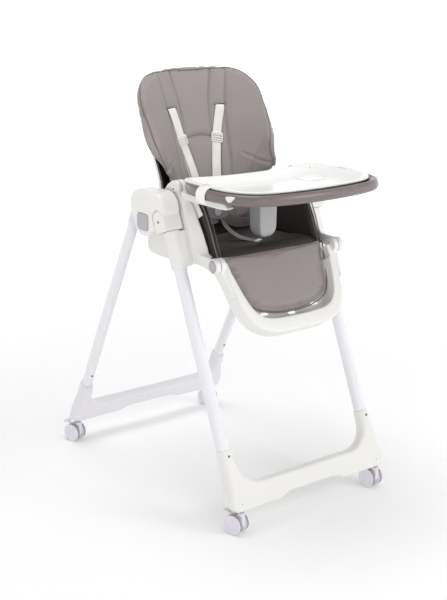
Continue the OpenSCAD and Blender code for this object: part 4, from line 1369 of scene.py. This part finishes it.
# --- calf pad: one pad from the seat's front fold down into the footrest, half its outline as (z, x)
CALF = [(27.5, 151), (24, 158), (18, 162), (8, 161.5), (-5, 157), (-20, 153), (-45, 146.5), (-70, 139.5),
    (-89, 132.5), (-106, 122.5), (-117, 111), (-126, 94), (-133, 72), (-138, 45), (-140, 14), (-140.2, 0)]
CALF_LINE = Outline(spline(both([(x, z) for z, x in CALF]), 170), (0, -60))
rings = []
for g, y in ((60, 28), (12, 28), (5, 27.4), (1.5, 25.6), (0, 22.6), (0, 17.5), (1.2, 14.8), (4, 13.2),
        (9, 12.6), (60, 12.2)):
    P = CALF_LINE(g)
    rings.append(fplane(P, 12.2 + (y - 12.2) * np.interp(P[:, 1], [-60, -24, 0, 27], [1, 1, 0.75, 0.35])))
v, f = loft(rings)
calf = fill_out(add("calf_pad", v, f, LEATHER), 4.8, 4.5)
P, N = points_of(calf)
front = sstep(0.3, 0.7, -FOOTREST.back(N + FOOTREST.origin)[:, 1])
STITCH = CALF_LINE(10.5)
STITCH = STITCH[STITCH[:, 1] < 14]
r = line_dist(FOOTREST.back(P)[:, [0, 2]], STITCH)
Q = FOOTREST.back(P - N * ((groove(r, 1.5, 3.0) + groove(r, 0.8, 9.0)) * front)[:, None])
# keep clear of the dish's floor
Q[:, 1] = np.minimum(Q[:, 1], 29.2)
set_points(calf, FOOTREST(Q))


def on_calf(P2, lift):
    """Points (x, z) laid on the calf pad, with the normals there."""
    return drape(calf, fplane(P2, -20.0), FOOTREST(np.array([0, 1.0, 0])) - FOOTREST.origin, lift)


# two points on the pad's front fold, in the footrest's plane and in metres; nothing below uses them
BEND_FROM, BEND_TO = (tuple(float(q) * 0.001 for q in FOOTREST(np.array([0, 12.0, z])))
    for z in (16.0, -26.0))
threads = stitches("calf_stitching", *on_calf(STITCH, 0.0), None, 5.2, 3.3, 0.42)
hem = CALF_LINE(0.2)
binding = bead("calf_binding", fplane(hem[hem[:, 1] < 24], 15.2), 1.7, PIPING, None, 10)
calf.name = "calf_cushion_pad"
for o in (calf, threads, binding):
    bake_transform(o)
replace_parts(calf, "calf_cushion")
top_seam = np.stack([np.linspace(-146, 146, 60), np.full(60, 24.0)], -1)
bead("seat_front_seam", on_calf(top_seam, -0.2)[0], 0.9, THREAD, "seat", 8)

# --- buckle, crotch strap and waist straps
path = spline([(-52, -58, 704), (-46, -66, 690), (-38, -82, 670), (-26, -104, 655), (-14, -128, 649.5),
    (-4, -146, 648), (2, -157, 647.6)], 60)
T = tangents(path)
S = np.cross(T, np.array([0, 0, 1.0])) + np.array([0.25, 0, 0]) * np.linspace(1, 0, 60)[:, None]
S = unit(S - T * (S * T).sum(1)[:, None])
N = np.cross(S, T)
o = ribbon("crotch_webbing", path, S, N, 25, 2.0, GREYWEB, "seat", 0.8)
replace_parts(o, "crotch_strap")
ribbon("crotch_tab", path[-5:] + np.array([0, 0, 1.4]), S[-5:], N[-5:], 27, 2.6, WEBSIDE, "seat", 1.0)
centre = np.array([-58.0, -59.0, 712.0])
face = unit([-0.35, -0.9, 0.25])
across = unit(np.cross([0, 0, 1.0], face))
up = np.cross(face, across)
shape = np.array([(-29, -9), (-20, -16), (-9, -18), (9, -18), (20, -16), (29, -9), (30, 4), (26, 13),
    (12, 17), (-12, 17), (-26, 13), (-30, 4)], float)
line = Outline(spline(shape, 90, closed=True), (0, 0))
rings = []
for g, h in ((12, -7.5), (3, -7.5), (0.8, -6.4), (0, -4), (0, 3), (0.8, 5.4), (2.6, 7), (5, 7.6),
        (13, 8.2)):
    P = line(g)
    rings.append(centre + P[:, :1] * across + P[:, 1:] * up + h * face)
v, f = loft(rings)
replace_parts(add("buckle_body", v, f, BUCKLE, "seat", sharp=50), "harness_buckle")
prof = [(6, 9.5), (9.6, 9.5), (11.2, 8.8), (11.9, 7), (11.6, 4), (11.4, 0)]
turned("buckle_button", prof, centre, face, 40, GREY, "seat", sharp=45)
prof = [(6, 11.6), (8.4, 11.6), (8.9, 11.0), (8.4, 10.2), (6, 10.2)]
turned("buckle_button_ring", prof, centre, face, 40, BUCKLE, "seat", sharp=45,
    closed=True)
WAIST_LEFT = [(-150, -14, 700), (-136, -22, 702), (-116, -38, 706), (-98, -50, 710), (-86, -55, 712)]
WAIST_RIGHT = [(150, -8, 676), (110, -6, 664), (50, -12, 664), (0, -30, 684), (-30, -50, 706)]
for side, points, mat in (("left", WAIST_LEFT, WEB), ("right", WAIST_RIGHT, GREYWEB)):
    path = spline(points, 50)
    T = tangents(path)
    up = np.array([0, -0.25, 1.0])
    S = unit(up - T * (T @ up)[:, None])
    o = ribbon("waist_strap_" + side, path, S, np.cross(S, T), 25, 1.8, mat, "seat", 0.7)
    if side == "left":
        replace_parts(o, "lap_straps")
# cream strap hanging in the gap beside the seat's right-hand pad
path = spline([(-171, -100, 788), (-170.6, -112, 768), (-170.2, -126, 748), (-169.8, -136, 735),
    (-169.6, -142, 728)], 40)
S = unit(np.cross(tangents(path), np.array([1.0, 0.35, 0])))
ribbon("side_strap", path, S, np.cross(S, tangents(path)), 20, 1.6, WEB, "seat", 0.7)

# fabric skirt that closes the gap behind the seat; its dark liner colour is painted shade where the
# upholstery lies in shadow
rows = []
for w, y in ((16, 4.0), (6, 3.0), (-4, 3.5), (-14, 5.0), (-24, 7.0), (-30, 8.0)):
    x = np.linspace(-134, 134, 41)
    depth = y - 0.4 * (BEND - np.sqrt(BEND**2 - x * x)) * (w + 30) / 46 + 0.9 * np.sin(x * 0.09 + w * 0.2)
    rows.append(BACK(np.stack([x, depth, np.full(41, float(w))], -1)))
fabric("back_skirt_painted_shade", rows, 1.2)


# ---------------------------------------------------------------- camera, light, floor
scene = bpy.context.scene
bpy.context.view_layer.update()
cam = bpy.data.cameras.new("camera")
cam.lens, cam.sensor_width, cam.sensor_height, cam.sensor_fit = 70.43, 36, 36, "VERTICAL"
cam.clip_end = 500
camo = bpy.data.objects.new("camera", cam)
scene.collection.objects.link(camo)
camo.location = (-1.78884, -2.37624, 1.31056)
camo.rotation_euler = Vector((0.57969, 0.76699, -0.27511)).to_track_quat("-Z", "Y").to_euler()
scene.camera = camo

world = bpy.data.worlds.new("studio")
scene.world = world
world.use_nodes = True
world.node_tree.nodes["Background"].inputs["Color"].default_value = (1, 1, 1, 1)
world.node_tree.nodes["Background"].inputs["Strength"].default_value = 0.56


def lamp(name, at, to, size, power, size_y=None):
    """A rectangular lamp at one point, aimed at another."""
    data = bpy.data.lights.new(name, "AREA")
    data.shape = "RECTANGLE"
    data.size, data.size_y, data.energy = size, size_y or size, power
    o = bpy.data.objects.new(name, data)
    scene.collection.objects.link(o)
    o.location = at
    o.rotation_euler = (Vector(to) - Vector(at)).to_track_quat("-Z", "Y").to_euler()


lamp("key", (1.5, -2.9, 2.3), (0, 0, 0.55), 1.3, 27)
lamp("top", (-0.2, 0.3, 3.2), (0, 0, 0.4), 1.5, 27)
lamp("strip", (-1.1, -3.1, 1.7), (0, -0.2, 0.7), 0.5, 7, 1.6)

# a round floor that turns up far away, so that no view sees its edge
STEPS = 96
SWEEP = ((10, 0), (1500, 0), (3500, 0), (7000, 0), (12000, 0), (17000, 0), (19000, 220), (20000, 1100),
    (20400, 3000), (20500, 6800))
turn = np.linspace(0, 2 * math.pi, STEPS, endpoint=False)
v, f = loft([np.stack([r * np.cos(turn), r * np.sin(turn), np.full(STEPS, float(z))], -1) for r,
    z in SWEEP], caps=False)
f.append(tuple(range(STEPS)))
FLOOR = material("studio_floor", (246, 246, 246), 0.75, 0.004, 2, rough_vary=0.06)
floor = add("studio_floor", v, f, FLOOR)
# it glows a little more with distance, where the lamps no longer reach
tree = FLOOR.node_tree
place = wire(tree, "TexCoord", {}).outputs["Object"]
reach = wire(tree, "VectorMath", {0: place}, operation="LENGTH").outputs["Value"]
ends = {"From Min": 0.5, "From Max": 3.4, "To Min": 0.1, "To Max": 0.5}
glow = wire(tree, "MapRange", {"Value": reach, **ends}, interpolation_type="SMOOTHSTEP").outputs["Result"]
bsdf = tree.nodes["Principled BSDF"]
bsdf.inputs["Emission Color"].default_value = (1, 1, 1, 1)
tree.links.new(glow, bsdf.inputs["Emission Strength"])
scene.view_settings.view_transform = "Standard"
scene.view_settings.look = "None"
scene.view_settings.exposure = 0.0
